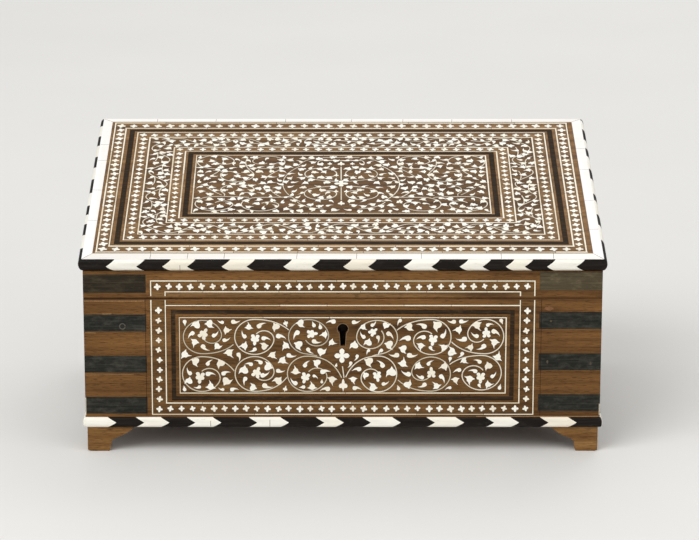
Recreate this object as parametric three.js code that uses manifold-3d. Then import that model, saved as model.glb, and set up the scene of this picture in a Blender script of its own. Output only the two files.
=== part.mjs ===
// Wooden table box with a sloping hinged lid: board walls on a moulded bottom
// board and four bracket feet, ebony bands let in round the corners, bead
// mouldings, a bone border on the lid, a box lock and two butt hinges.
// Millimetres, +Z up, front towards -Y, origin on the floor under the middle
// of the walls.

import * as THREE from 'three';
import { mergeVertices } from 'three/addons/utils/BufferGeometryUtils.js';
import Module from 'manifold-3d';

const wasm = await Module();
wasm.setup();

// Walls and bottom board
const bodyWidth = 370;
const bodyDepth = 234;
const wallHeight = 89.05;
const wallThickness = 11;
const floorThickness = 7.4;

// Joints between pieces: glued faces, let-in pieces and the closed seam
const glueLine = 0.1;
const slopeGlueLine = 0.2;
const seamGap = 0.3;
const cutMargin = 2;

// Sloping lid
const lidFrontRise = 19.5;
const lidSlopeDegrees = 12.07;
const lidBoardThickness = 9.4;
const lidSideOverhang = 0.5;
const lidFrontOverhang = 2.1;
const lidBackOverhang = 2.1;

// Bead mouldings round the edges of the lid and of the bottom board
const lidBeadWidth = 4.6;
const lidBeadBulge = 2.8;
const lidBeadUndercut = 0.9;
const baseBeadWidth = 6;
const baseBeadBulge = 1.4;
const baseBeadOverhang = 0.5;
const beadCornerSteps = 3;
const beadCurveSteps = 8;

// Bone border let in round the top of the lid, inside the bead's raised edge
const borderThickness = 1.2;
const borderFrontWidth = 8.8;
const borderSideWidth = 7.1;
const borderBackWidth = 5.5;

// Ebony bands round the corners; those on the right sit a little higher
const bandReach = 44.6;
const bandThickness = 1.6;
const bandHeight = 12.4;
const bandPitch = 30.7;
const bandCount = 3;
const lowestBandRise = 2.6;
const rightBandLift = 1.9;
const lidBandHeight = 13.4;
const lidBandRise = 3.2;

// Bracket feet
const footHeight = 18.6;
const footInset = 1.1;
const footTopReach = 34.5;
const footAnkleReach = 17.4;
const footAnkleHeight = 7.4;
const footSoleReach = 16.2;
const footEdgeRound = 3.4;
const footThickness = 9;

// Keyhole
const keyholeHeadRadius = 3.8;
const keyholeDrop = 23.25;
const keyholeSlotLength = 12.8;
const keyholeSlotTopWidth = 4.6;
const keyholeSlotFootWidth = 3.3;
const keyholeWood = 3.6;

// Box lock: a case in the front wall, its sliding bolt, and the keeper on the lid
const caseWidth = 52;
const caseHeight = 43;
const caseDepth = 8;
const caseWall = 1.2;
const boltDrop = 8;
const boltHeight = 5;
const boltThickness = 2;
const boltLength = 27.6;
const boltTravel = 6;
const boltTailHeight = 6.5;
const boltTailLength = 4;
const boltFit = 0.3;
const guideOffset = 1.1;
const guideLength = 3;
const guideFloor = 1.2;
const guideClearance = 1;
const stapleOffset = -12;
const stapleThickness = 3;
const stapleDepth = 4.6;
const stapleWeb = 1.4;
const stapleClearance = 0.9;
const keeperLength = 30;
const keeperDepth = 6;
const keeperThickness = 1.2;

// Butt hinges let into the back of the seam
const hingeOffset = 105;
const hingeLength = 44;
const leafDepth = 8;
const leafThickness = 1.2;
const barrelRadius = 2.5;
const barrelClearance = 0.4;
const knuckleGap = 0.3;
const pinRadius = 1.4;
const pinClearance = 0.1;
const pinOverhang = 0.8;
const roundSteps = 32;

// Hinge nails
const nailShankRadius = 0.8;
const nailHeadRadius = 1.7;
const nailHeadHeight = 0.8;
const nailLength = 9;
const nailTip = 1.4;
const nailSpacing = 28;
const nailSteps = 12;

// Heights and planes that follow from the sizes above
const floorTop = footHeight + floorThickness;
const wallTop = floorTop + wallHeight;
const railBottom = wallTop + seamGap;
const sideX = bodyWidth / 2;
const faceY = bodyDepth / 2;
const slope = THREE.MathUtils.degToRad(lidSlopeDegrees);
const lidWidth = bodyWidth + 2 * lidSideOverhang;
const lidLength = (bodyDepth + lidFrontOverhang + lidBackOverhang) / Math.cos(slope);
const lidEdgeY = -(faceY + lidFrontOverhang);
const lidEdgeZ = railBottom + lidFrontRise + lidBoardThickness / Math.cos(slope)
  - lidFrontOverhang * Math.tan(slope);
const hingeAxisY = faceY + barrelRadius + barrelClearance;
const hingeAxisZ = wallTop + seamGap / 2;
const lockFrontY = -faceY + keyholeWood + glueLine;
const cavityDepth = caseDepth - caseWall;
const boltY = lockFrontY + cavityDepth / 2;
const boltZ = wallTop - boltDrop;
const boltNoseX = stapleOffset + stapleThickness / 2 + stapleClearance;
const boltTailX = boltNoseX + guideOffset + guideLength + boltTravel + guideClearance;

// Finishes
const finishes = {
  rosewood: { color: 0x7a4a2a, roughness: 0.5, metalness: 0 },
  footWood: { color: 0x96642f, roughness: 0.55, metalness: 0 },
  ebony: { color: 0x2b2723, roughness: 0.45, metalness: 0 },
  bone: { color: 0xf2ecda, roughness: 0.35, metalness: 0 },
  iron: { color: 0x55504a, roughness: 0.5, metalness: 0.9 },
  brass: { color: 0xa98544, roughness: 0.4, metalness: 0.9 },
};

// Moves an extrusion's length onto X, with its outline in the Y-Z plane.
const lengthOnX = new THREE.Matrix4().makeBasis(
  new THREE.Vector3(0, 1, 0),
  new THREE.Vector3(0, 0, 1),
  new THREE.Vector3(1, 0, 0),
);

// Moves an extrusion's length onto -Y, with its outline in the X-Z plane.
const lengthOnMinusY = new THREE.Matrix4().makeBasis(
  new THREE.Vector3(1, 0, 0),
  new THREE.Vector3(0, 0, 1),
  new THREE.Vector3(0, -1, 0),
);

// Makes a solid that can be cut and joined from a closed geometry.
function solidOf(geometry) {
  const bare = geometry.index ? geometry.toNonIndexed() : geometry.clone();
  bare.deleteAttribute('normal');
  bare.deleteAttribute('uv');
  const merged = mergeVertices(bare, 1e-4);
  return new wasm.Manifold(new wasm.Mesh({
    numProp: 3,
    vertProperties: new Float32Array(merged.attributes.position.array),
    triVerts: new Uint32Array(merged.index.array),
  }));
}

// Turns a solid back into a geometry.
function geometryOf(solid) {
  const mesh = solid.getMesh();
  const geometry = new THREE.BufferGeometry();
  geometry.setAttribute('position', new THREE.BufferAttribute(mesh.vertProperties, 3));
  geometry.setIndex(new THREE.BufferAttribute(mesh.triVerts, 1));
  geometry.computeVertexNormals();
  return geometry;
}

// Cuts each of a list of geometries out of a geometry.
function cut(geometry, cutters) {
  let solid = solidOf(geometry);
  for (const cutter of cutters) {
    solid = solid.subtract(solidOf(cutter));
  }
  return geometryOf(solid);
}

// Joins a list of geometries into one body.
function join(geometries) {
  const [first, ...rest] = geometries.map(solidOf);
  return geometryOf(rest.reduce((whole, piece) => whole.add(piece), first));
}

// A box between two corners.
function block(low, high) {
  const size = high.map((value, axis) => value - low[axis]);
  const middle = high.map((value, axis) => (value + low[axis]) / 2);
  return new THREE.BoxGeometry(...size).translate(...middle);
}

// An extruded outline, with no bevel.
function extrude(shape, depth, curveSegments = 8) {
  return new THREE.ExtrudeGeometry(shape, { depth, bevelEnabled: false, curveSegments });
}

// A prism along X between two ends, from [y, z] points.
function prismAlongX(points, startX, endX) {
  const shape = new THREE.Shape(points.map(([y, z]) => new THREE.Vector2(y, z)));
  return extrude(shape, endX - startX).applyMatrix4(lengthOnX).translate(startX, 0, 0);
}

// A round bar along X between two ends, on the hinge axis.
function hingeBar(radius, startX, endX) {
  return new THREE.CylinderGeometry(radius, radius, endX - startX, roundSteps)
    .rotateZ(Math.PI / 2)
    .translate((startX + endX) / 2, hingeAxisY, hingeAxisZ);
}

// A strip along X whose ends are mitred. Its section is drawn with x inward
// from the outer edge and y up; mitre is the neighbour's width over its own.
function mitredStrip(section, halfLength, mitre) {
  const geometry = extrude(section, 1).applyMatrix4(lengthOnX);
  const position = geometry.attributes.position;
  for (let i = 0; i < position.count; i += 1) {
    const side = position.getX(i) > 0.5 ? 1 : -1;
    const inward = position.getY(i);
    position.setX(i, side * (halfLength - mitre * inward - slopeGlueLine / 2));
  }
  geometry.computeVertexNormals();
  return geometry;
}

// A bead along X with mitred ends. What bulges past its outer edge runs round
// the corner in an arc, in a few steps that are spread a little along the bead.
function beadStrip(section, halfLength) {
  const spread = 0.6;
  const rings = 2 * beadCornerSteps + 1;
  const settings = { depth: 1, steps: rings, bevelEnabled: false, curveSegments: beadCurveSteps };
  const geometry = new THREE.ExtrudeGeometry(section, settings).applyMatrix4(lengthOnX);
  const position = geometry.attributes.position;
  for (let i = 0; i < position.count; i += 1) {
    const ring = Math.round(position.getX(i) * rings);
    const side = ring > beadCornerSteps ? 1 : -1;
    const share = (Math.abs(ring - rings / 2) - 0.5) / beadCornerSteps;
    const angle = share * Math.PI / 4;
    const inward = position.getY(i);
    const radius = Math.max(0, -slopeGlueLine - inward);
    const short = inward + radius * (1 - Math.sin(angle)) + spread * (1 - share);
    position.setX(i, side * (halfLength - short - slopeGlueLine / 2));
    position.setY(i, inward + radius * (1 - Math.cos(angle)));
  }
  geometry.computeVertexNormals();
  return geometry;
}

// Section of a bead moulding: flat where it is glued, rounded outside. Where a
// rebate is given, the outside stands higher than the flat top by that much.
function beadSection(width, bottom, top, bulge, undercut, rebate = 0) {
  const crest = top + rebate;
  const edge = rebate > 0 ? -slopeGlueLine : 0;
  const height = crest - bottom;
  const shape = new THREE.Shape();
  shape.moveTo(width, bottom);
  shape.lineTo(width, top);
  if (rebate > 0) {
    shape.lineTo(edge, top);
  }
  shape.lineTo(edge, crest);
  shape.bezierCurveTo(
    -bulge * 1.3, crest - height * 0.08,
    undercut / 2 - bulge * 1.55, bottom + height * 0.12,
    undercut, bottom,
  );
  return shape;
}

// Section of a flat strip.
function flatSection(width, bottom, top) {
  return new THREE.Shape([
    new THREE.Vector2(0, bottom),
    new THREE.Vector2(width, bottom),
    new THREE.Vector2(width, top),
    new THREE.Vector2(0, top),
  ]);
}

// Adds a named piece with its own finish to a group.
function addPiece(group, name, geometry, finish) {
  const mesh = new THREE.Mesh(geometry, new THREE.MeshStandardMaterial(finishes[finish]));
  mesh.name = name;
  group.add(mesh);
  return mesh;
}

// The four sides of a rectangle of strips, each with the turn that brings a
// strip drawn along X at the front to its side.
function rectangleSides(width, length) {
  return [
    { side: 'front', along: width / 2, turn: 0, x: 0, y: -length / 2 },
    { side: 'right', along: length / 2, turn: Math.PI / 2, x: width / 2, y: 0 },
    { side: 'back', along: width / 2, turn: Math.PI, x: 0, y: length / 2 },
    { side: 'left', along: length / 2, turn: -Math.PI / 2, x: -width / 2, y: 0 },
  ];
}

// The four corners, with the signs of their X and Y.
const corners = [
  { corner: 'front_left', signX: -1, signY: -1 },
  { corner: 'front_right', signX: 1, signY: -1 },
  { corner: 'back_left', signX: -1, signY: 1 },
  { corner: 'back_right', signX: 1, signY: 1 },
];

// One corner band, or with a clearance and a proud outer face, its pocket.
function cornerBand(signX, signY, bottom, height, clearance = 0, proud = 0) {
  const reach = bandReach + clearance;
  const inner = bandThickness + clearance;
  const outline = [
    [-proud, -proud], [reach, -proud], [reach, inner],
    [inner, inner], [inner, reach], [-proud, reach],
  ];
  const points = outline.map(([a, b]) => (
    new THREE.Vector2(signX * (sideX - a), signY * (faceY - b))
  ));
  return extrude(new THREE.Shape(points), height + 2 * clearance)
    .translate(0, 0, bottom - clearance);
}

// Where each corner band sits, on the walls and on the lid's rails.
function bandPlaces() {
  const places = [];
  for (const { corner, signX, signY } of corners) {
    const lift = signX > 0 ? rightBandLift : 0;
    for (let level = 0; level < bandCount; level += 1) {
      const bottom = floorTop + lowestBandRise + lift + level * bandPitch;
      const name = `corner_band_${corner}_${level + 1}`;
      places.push({ name, signX, signY, bottom, height: bandHeight, onLid: false });
    }
    const bottom = railBottom + lidBandRise + lift;
    const name = `lid_corner_band_${corner}`;
    places.push({ name, signX, signY, bottom, height: lidBandHeight, onLid: true });
  }
  return places;
}

// The pockets that the bands of the walls or of the lid are let into.
function bandPockets(onLid) {
  return bandPlaces()
    .filter((place) => place.onLid === onLid)
    .map(({ signX, signY, bottom, height }) => (
      cornerBand(signX, signY, bottom, height, glueLine, cutMargin)
    ));
}

// Height of the lid board's underside over a given Y.
function lidUndersideZ(y) {
  return lidEdgeZ + (y - lidEdgeY) * Math.tan(slope) - lidBoardThickness / Math.cos(slope);
}

// The keyhole, cut through the wood in front of the lock.
function keyholeCutter() {
  const centreZ = wallTop - keyholeDrop;
  const half = keyholeSlotTopWidth / 2;
  const angle = Math.acos(half / keyholeHeadRadius);
  const shoulderZ = centreZ - Math.sin(angle) * keyholeHeadRadius;
  const footZ = centreZ - keyholeSlotLength;
  const shape = new THREE.Shape();
  shape.moveTo(keyholeSlotFootWidth / 2, footZ);
  shape.lineTo(half, shoulderZ);
  shape.absarc(0, centreZ, keyholeHeadRadius, -angle, Math.PI + angle, false);
  shape.lineTo(-keyholeSlotFootWidth / 2, footZ);
  return extrude(shape, keyholeWood + 2 * cutMargin, 20)
    .applyMatrix4(lengthOnMinusY)
    .translate(0, -faceY + keyholeWood + cutMargin, 0);
}

// The recess for the lock case, open to the inside and to the wall's top.
function lockRecess() {
  const half = caseWidth / 2 + glueLine;
  return block(
    [-half, -faceY + keyholeWood, wallTop - caseHeight - glueLine],
    [half, -faceY + wallThickness + cutMargin, wallTop + cutMargin],
  );
}

// One nail, point down with its head's top at the origin; its hole is larger.
function nail(clearance = 0, above = 0) {
  const shank = nailShankRadius + clearance;
  const head = nailHeadRadius + clearance;
  const profile = [
    [0, -nailLength - clearance],
    [shank, -nailLength - clearance + nailTip],
    [shank, -nailHeadHeight],
    [head, 0],
  ];
  if (above > 0) {
    profile.push([head, above]);
  }
  profile.push([0, above]);
  const points = profile.map(([radius, height]) => new THREE.Vector2(radius, height));
  return new THREE.LatheGeometry(points, nailSteps).rotateX(Math.PI / 2);
}

// The nails of one hinge's leaf, with the lid's nails driven upwards.
function nailPlaces(centreX, onLid) {
  const sink = 0.05;
  return [-1, 1].map((end) => ({
    x: centreX + end * nailSpacing / 2,
    y: faceY - leafDepth / 2,
    z: onLid ? railBottom + sink : wallTop - sink,
    turn: onLid ? Math.PI : 0,
  }));
}

// A nail's hole, for cutting out of a leaf and of the wood behind it.
function nailHoles(centreX, onLid) {
  return nailPlaces(centreX, onLid).map(({ x, y, z, turn }) => (
    nail(glueLine, cutMargin).rotateX(turn).translate(x, y, z)
  ));
}

// The pocket for one hinge leaf, open to the back and to the seam.
function leafPocket(centreX, onLid) {
  const half = hingeLength / 2 + glueLine;
  const seam = onLid ? railBottom : wallTop;
  const away = onLid ? 1 : -1;
  const deep = seam + away * (leafThickness + glueLine);
  const open = seam - away * cutMargin;
  return block(
    [centreX - half, faceY - leafDepth - glueLine, Math.min(deep, open)],
    [centreX + half, faceY + cutMargin, Math.max(deep, open)],
  );
}

// All that is cut from the back wall or the lid's back rail for the hinges.
function hingeCuts(onLid) {
  return [-hingeOffset, hingeOffset].flatMap((centreX) => [
    leafPocket(centreX, onLid),
    ...nailHoles(centreX, onLid),
  ]);
}

// Bottom board and the four walls.
function addWalls(group) {
  const boardX = sideX + baseBeadOverhang - baseBeadWidth - glueLine;
  const boardY = faceY + baseBeadOverhang - baseBeadWidth - glueLine;
  const innerY = faceY - wallThickness;
  const pockets = bandPockets(false);
  addPiece(group, 'floor_board', block(
    [-boardX, -boardY, footHeight],
    [boardX, boardY, floorTop],
  ), 'rosewood');
  addPiece(group, 'front_board', cut(
    block([-sideX, -faceY, floorTop], [sideX, -innerY, wallTop]),
    [...pockets, lockRecess(), keyholeCutter()],
  ), 'rosewood');
  addPiece(group, 'back_board', cut(
    block([-sideX, innerY, floorTop], [sideX, faceY, wallTop]),
    [...pockets, ...hingeCuts(false)],
  ), 'rosewood');
  for (const [name, sign] of [['left_side_board', -1], ['right_side_board', 1]]) {
    const outer = sign * sideX;
    const inner = sign * (sideX - wallThickness);
    addPiece(group, name, cut(block(
      [Math.min(outer, inner), -innerY, floorTop],
      [Math.max(outer, inner), innerY, wallTop],
    ), pockets), 'rosewood');
  }
}

// The bead moulding round the bottom board.
function addBaseBeads(group) {
  const width = bodyWidth + 2 * baseBeadOverhang;
  const length = bodyDepth + 2 * baseBeadOverhang;
  for (const { side, along, turn, x, y } of rectangleSides(width, length)) {
    const section = beadSection(baseBeadWidth, footHeight, floorTop, baseBeadBulge, 0);
    const piece = addPiece(group, `base_moulding_${side}`, beadStrip(section, along), 'ebony');
    piece.rotation.z = turn;
    piece.position.set(x, y, 0);
  }
}

// One wing of a bracket foot, with its outline drawn inward from the corner.
function footOutline(origin, sign) {
  const at = (reach) => sign * (origin - reach);
  const shape = new THREE.Shape();
  shape.moveTo(at(0), footHeight);
  shape.lineTo(at(0), footEdgeRound);
  shape.quadraticCurveTo(at(0), 0, at(footEdgeRound), 0);
  shape.lineTo(at(footSoleReach - footEdgeRound / 2), 0);
  shape.quadraticCurveTo(at(footSoleReach), 0, at(footSoleReach), footEdgeRound / 2);
  shape.lineTo(at(footAnkleReach), footAnkleHeight);
  shape.bezierCurveTo(
    at(footAnkleReach + 1.2), footAnkleHeight + 3.2,
    at(footAnkleReach + 8), footAnkleHeight + 2.2,
    at(footTopReach), footHeight,
  );
  return shape;
}

// A bracket foot: two wings that meet at the corner.
function bracketFoot(signX, signY) {
  const outerX = sideX - footInset;
  const outerY = faceY - footInset;
  const acrossY = signY > 0 ? outerY : -outerY + footThickness;
  const acrossX = signX > 0 ? outerX - footThickness : -outerX;
  return join([
    extrude(footOutline(outerX, signX), footThickness)
      .applyMatrix4(lengthOnMinusY)
      .translate(0, acrossY, 0),
    extrude(footOutline(outerY, signY), footThickness)
      .applyMatrix4(lengthOnX)
      .translate(acrossX, 0, 0),
  ]);
}

// The four feet, under the corners of the bottom board.
function addFeet(group) {
  for (const { corner, signX, signY } of corners) {
    addPiece(group, `foot_${corner}`, bracketFoot(signX, signY), 'footWood');
  }
}

// The ebony bands of the walls or of the lid.
function addBands(group, onLid) {
  for (const { name, signX, signY, bottom, height } of bandPlaces().filter(
    (place) => place.onLid === onLid,
  )) {
    addPiece(group, name, cornerBand(signX, signY, bottom, height), 'ebony');
  }
}

// A guide for the bolt: a block on the case's back plate with an open channel.
function boltGuide(startX) {
  const backY = lockFrontY + cavityDepth;
  const lowZ = boltZ - boltHeight / 2 - boltFit;
  const slotHalf = boltThickness / 2 + boltFit;
  return cut(
    block(
      [startX, boltY - slotHalf - guideFloor, lowZ - guideFloor],
      [startX + guideLength, backY + caseWall / 2, boltZ + boltHeight / 2],
    ),
    [block(
      [startX - cutMargin, boltY - slotHalf, lowZ],
      [startX + guideLength + cutMargin, boltY + slotHalf, wallTop],
    )],
  );
}

// The lock case: a tray open towards the keyhole, slotted for the staple.
function lockCase() {
  const half = caseWidth / 2;
  const bottom = wallTop - caseHeight;
  const tray = cut(
    block([-half, lockFrontY, bottom], [half, lockFrontY + caseDepth, wallTop]),
    [
      block(
        [-half + caseWall, lockFrontY - cutMargin, bottom + caseWall],
        [half - caseWall, lockFrontY + cavityDepth, wallTop - caseWall],
      ),
      block(
        [
          stapleOffset - stapleThickness / 2 - stapleClearance,
          boltY - stapleDepth / 2 - stapleClearance,
          wallTop - caseWall - cutMargin,
        ],
        [
          stapleOffset + stapleThickness / 2 + stapleClearance,
          boltY + stapleDepth / 2 + stapleClearance,
          wallTop + cutMargin,
        ],
      ),
    ],
  );
  return join([
    tray,
    boltGuide(boltNoseX + guideOffset),
    boltGuide(boltTailX + boltTailLength + guideClearance),
  ]);
}

// The bolt, drawn back, with the tail that the key pushes.
function lockBolt() {
  const low = boltZ - boltHeight / 2;
  const half = boltThickness / 2;
  return join([
    block(
      [boltNoseX, boltY - half, low],
      [boltNoseX + boltLength, boltY + half, low + boltHeight],
    ),
    block(
      [boltTailX, boltY - half, low - boltTailHeight],
      [boltTailX + boltTailLength, boltY + half, low + boltHeight / 2],
    ),
  ]);
}

// The keeper: a plate let into the lid's front rail, with a staple under it.
function lockKeeper() {
  const holeHalfY = boltThickness / 2 + boltFit;
  const holeHalfZ = boltHeight / 2 + boltFit;
  const staple = cut(
    block(
      [
        stapleOffset - stapleThickness / 2,
        boltY - stapleDepth / 2,
        boltZ - holeHalfZ - stapleWeb,
      ],
      [
        stapleOffset + stapleThickness / 2,
        boltY + stapleDepth / 2,
        railBottom + keeperThickness / 2,
      ],
    ),
    [block(
      [stapleOffset - stapleThickness, boltY - holeHalfY, boltZ - holeHalfZ],
      [stapleOffset + stapleThickness, boltY + holeHalfY, boltZ + holeHalfZ],
    )],
  );
  return join([keeperPlate(0), staple]);
}

// The keeper's plate, or with a clearance, its pocket in the rail.
function keeperPlate(clearance) {
  const open = clearance > 0 ? cutMargin : 0;
  return block(
    [
      stapleOffset - keeperLength / 2 - clearance,
      boltY - keeperDepth / 2 - clearance,
      railBottom - open,
    ],
    [
      stapleOffset + keeperLength / 2 + clearance,
      boltY + keeperDepth / 2 + clearance,
      railBottom + keeperThickness + clearance,
    ],
  );
}

// The lock's fixed case on the front wall.
function addLock(group) {
  addPiece(group, 'lock_case', lockCase(), 'brass');
  addPiece(group, 'lock_bolt', lockBolt(), 'iron');
}

// The lid's four rails, cut to the slope.
function addLidRails(group) {
  const innerY = faceY - wallThickness;
  const topAt = (y) => lidUndersideZ(y) - slopeGlueLine;
  const pockets = bandPockets(true);
  const profile = (startY, endY) => [
    [startY, railBottom],
    [endY, railBottom],
    [endY, topAt(endY)],
    [startY, topAt(startY)],
  ];
  addPiece(group, 'lid_front_rail', cut(
    prismAlongX(profile(-faceY, -innerY), -sideX, sideX),
    [...pockets, keeperPlate(glueLine)],
  ), 'rosewood');
  addPiece(group, 'lid_back_rail', cut(
    prismAlongX(profile(innerY, faceY), -sideX, sideX),
    [...pockets, ...hingeCuts(true)],
  ), 'rosewood');
  for (const [name, sign] of [['lid_left_rail', -1], ['lid_right_rail', 1]]) {
    const outer = sign * sideX;
    const inner = sign * (sideX - wallThickness);
    addPiece(group, name, cut(
      prismAlongX(profile(-innerY, innerY), Math.min(outer, inner), Math.max(outer, inner)),
      pockets,
    ), 'rosewood');
  }
}

// The sloping board, with a rabbet round its top for the bone border.
function lidBoard() {
  const inset = lidBeadWidth + slopeGlueLine;
  const rabbetZ = -borderThickness - slopeGlueLine;
  const margin = slopeGlueLine;
  const frame = cut(
    block([-lidWidth, -lidLength, rabbetZ], [lidWidth, 2 * lidLength, cutMargin]),
    [block(
      [
        -lidWidth / 2 + borderSideWidth + margin,
        borderFrontWidth + margin,
        rabbetZ - cutMargin,
      ],
      [
        lidWidth / 2 - borderSideWidth - margin,
        lidLength - borderBackWidth - margin,
        2 * cutMargin,
      ],
    )],
  );
  return cut(block(
    [-lidWidth / 2 + inset, inset, -lidBoardThickness],
    [lidWidth / 2 - inset, lidLength - inset, 0],
  ), [frame]);
}

// The sloping top: its board, bead mouldings and bone border.
function addLidTop(group) {
  const top = new THREE.Group();
  top.position.set(0, lidEdgeY, lidEdgeZ);
  top.rotation.x = slope;
  group.add(top);
  addPiece(top, 'lid_panel', lidBoard(), 'rosewood');
  const borderWidths = {
    front: borderFrontWidth,
    right: borderSideWidth,
    back: borderBackWidth,
    left: borderSideWidth,
  };
  const beadTop = -borderThickness - slopeGlueLine;
  const bead = beadSection(
    lidBeadWidth, -lidBoardThickness, beadTop, lidBeadBulge, lidBeadUndercut, borderThickness,
  );
  for (const { side, along, turn, x, y } of rectangleSides(lidWidth, lidLength)) {
    const moulding = addPiece(top, `lid_moulding_${side}`, beadStrip(bead, along), 'ebony');
    moulding.rotation.z = turn;
    moulding.position.set(x, y + lidLength / 2, 0);
    const own = borderWidths[side];
    const isSide = side === 'left' || side === 'right';
    const border = addPiece(
      top,
      `bone_border_${side}`,
      isSide ? sideBorder(own, along, turn) : endBorder(own, along),
      'bone',
    );
    border.rotation.z = turn;
    border.position.set(x, y + lidLength / 2, 0);
  }
}

// The border along the front or back edge, mitred against the side borders.
function endBorder(width, along) {
  const section = flatSection(width, -borderThickness, 0);
  return mitredStrip(section, along, borderSideWidth / width);
}

// A side border, whose two ends meet borders of different widths.
function sideBorder(width, along, turn) {
  const geometry = mitredStrip(flatSection(width, -borderThickness, 0), along, 0);
  const position = geometry.attributes.position;
  const frontEnd = turn > 0 ? -1 : 1;
  for (let i = 0; i < position.count; i += 1) {
    const end = Math.sign(position.getX(i));
    const meets = end === frontEnd ? borderFrontWidth : borderBackWidth;
    const inward = position.getY(i) / width;
    position.setX(i, position.getX(i) - end * inward * meets);
  }
  geometry.computeVertexNormals();
  return geometry;
}

// One hinge leaf: a let-in plate and its knuckles, bored for the pin.
function hingeLeaf(centreX, onLid) {
  const seam = onLid ? railBottom : wallTop;
  const low = onLid ? seam : seam - leafThickness;
  const half = hingeLength / 2;
  const knuckle = hingeLength / 3;
  const spans = onLid
    ? [[-half, -half + knuckle - knuckleGap / 2], [half - knuckle + knuckleGap / 2, half]]
    : [[-half + knuckle + knuckleGap / 2, half - knuckle - knuckleGap / 2]];
  const plate = block(
    [centreX - half, faceY - leafDepth, low],
    [centreX + half, faceY, low + leafThickness],
  );
  const knuckles = spans.flatMap(([start, end]) => [
    block(
      [centreX + start, faceY - leafDepth / 2, low],
      [centreX + end, hingeAxisY, low + leafThickness],
    ),
    hingeBar(barrelRadius, centreX + start, centreX + end),
  ]);
  const bore = hingeBar(pinRadius + pinClearance, centreX - hingeLength, centreX + hingeLength);
  return cut(join([plate, ...knuckles]), [bore, ...nailHoles(centreX, onLid)]);
}

// The leaves, pins and nails of both hinges.
function addHinges(boxGroup, lidGroup) {
  for (const [side, centreX] of [['left', -hingeOffset], ['right', hingeOffset]]) {
    const half = hingeLength / 2 + pinOverhang;
    addPiece(boxGroup, `hinge_box_leaf_${side}`, hingeLeaf(centreX, false), 'brass');
    addPiece(lidGroup, `hinge_lid_leaf_${side}`, hingeLeaf(centreX, true), 'brass');
    addPiece(boxGroup, `hinge_pin_${side}`, hingeBar(pinRadius, centreX - half, centreX + half), 'iron');
    for (const [part, group, onLid] of [['box', boxGroup, false], ['lid', lidGroup, true]]) {
      nailPlaces(centreX, onLid).forEach(({ x, y, z, turn }, index) => {
        const piece = addPiece(group, `hinge_nail_${part}_${side}_${index + 1}`, nail(), 'iron');
        piece.rotation.x = turn;
        piece.position.set(x, y, z);
      });
    }
  }
}

// The whole box
const box = new THREE.Group();
const walls = new THREE.Group();
const lid = new THREE.Group();
box.add(walls, lid);

addWalls(walls);
addBaseBeads(walls);
addFeet(walls);
addBands(walls, false);
addLock(walls);
addLidRails(lid);
addLidTop(lid);
addBands(lid, true);
addPiece(lid, 'lock_keeper', lockKeeper(), 'iron');
addHinges(walls, lid);

export default box;
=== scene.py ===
"""Looks of a slope-lidded wooden table box inlaid with bone and ebony.

The walls, rails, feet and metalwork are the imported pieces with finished
surfaces. The bead mouldings are rebuilt as bone and ebony chevrons, and the
inlay is let into the flat faces as thin plates. Flat ornament is laid out in
millimetres on the face that it lies in, u to the right and v upwards.
"""

import logging
import math
import random
from collections.abc import Callable, Iterable, Sequence
from dataclasses import dataclass, field, replace
from enum import Enum

import bpy
import numpy as np
from mathutils import Matrix, Vector


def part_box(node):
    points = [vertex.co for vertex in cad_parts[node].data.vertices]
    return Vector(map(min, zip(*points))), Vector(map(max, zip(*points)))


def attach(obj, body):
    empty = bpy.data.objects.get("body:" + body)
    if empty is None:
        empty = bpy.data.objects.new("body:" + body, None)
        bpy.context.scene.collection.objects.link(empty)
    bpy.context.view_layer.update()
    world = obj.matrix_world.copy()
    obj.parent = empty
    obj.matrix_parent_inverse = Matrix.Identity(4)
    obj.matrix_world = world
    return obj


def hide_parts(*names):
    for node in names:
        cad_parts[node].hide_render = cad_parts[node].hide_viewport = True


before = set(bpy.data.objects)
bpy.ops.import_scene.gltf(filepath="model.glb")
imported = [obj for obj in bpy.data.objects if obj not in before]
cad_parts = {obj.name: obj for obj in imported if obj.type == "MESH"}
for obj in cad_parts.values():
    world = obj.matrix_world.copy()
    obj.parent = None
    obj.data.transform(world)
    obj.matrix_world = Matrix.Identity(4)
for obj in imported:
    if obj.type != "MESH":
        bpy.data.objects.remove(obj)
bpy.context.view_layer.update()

log = logging.getLogger("inlaid_box")

Point = tuple[float, float]
Line = Sequence[Point]
Knot = tuple[Point, Point]
Face = tuple[int, ...]
Rgb = tuple[int, int, int]
Rgba = tuple[float, float, float, float]
Socket = bpy.types.NodeSocket

MM = 0.001
STEM_STEP = 0.9
GROUND_LIFT = 0.02
EBONY_LIFT = 0.05
GROUND_DEPTH = 0.15
MARK_DEPTH = 0.2


class Body(Enum):
    """The moving parts that a piece can ride on."""

    BOX = "box"
    LID = "lid"


class Slot(Enum):
    """The finishes that can be repainted."""

    ROSEWOOD = "rosewood"
    EBONY = "ebony"
    CHEVRON_BEAD = "chevron_bead"
    BONE = "bone"


class Side(Enum):
    """The four sides of the box."""

    FRONT = "front"
    RIGHT = "right"
    BACK = "back"
    LEFT = "left"

    @property
    def across(self) -> bool:
        """True for the two sides that run from left to right."""
        return self in (Side.FRONT, Side.BACK)


class Grain(Enum):
    """The axis that a board's grain runs along."""

    ALONG_X = 0
    ALONG_Y = 1

    def stretch(self, along: float, across: float) -> Vector:
        """Scales for a pattern's features per metre along the grain and across it."""
        return Vector([along if axis == self.value else across for axis in range(3)])


class Leaf(Enum):
    """The bone shapes that the ornament is made of."""

    IVY = "ivy"
    VINE = "vine"
    COMMA = "comma"
    BUD = "bud"
    FLEUR = "fleur"
    BLOSSOM = "blossom"
    QUATREFOIL = "quatrefoil"
    CROSS = "cross"


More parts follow.
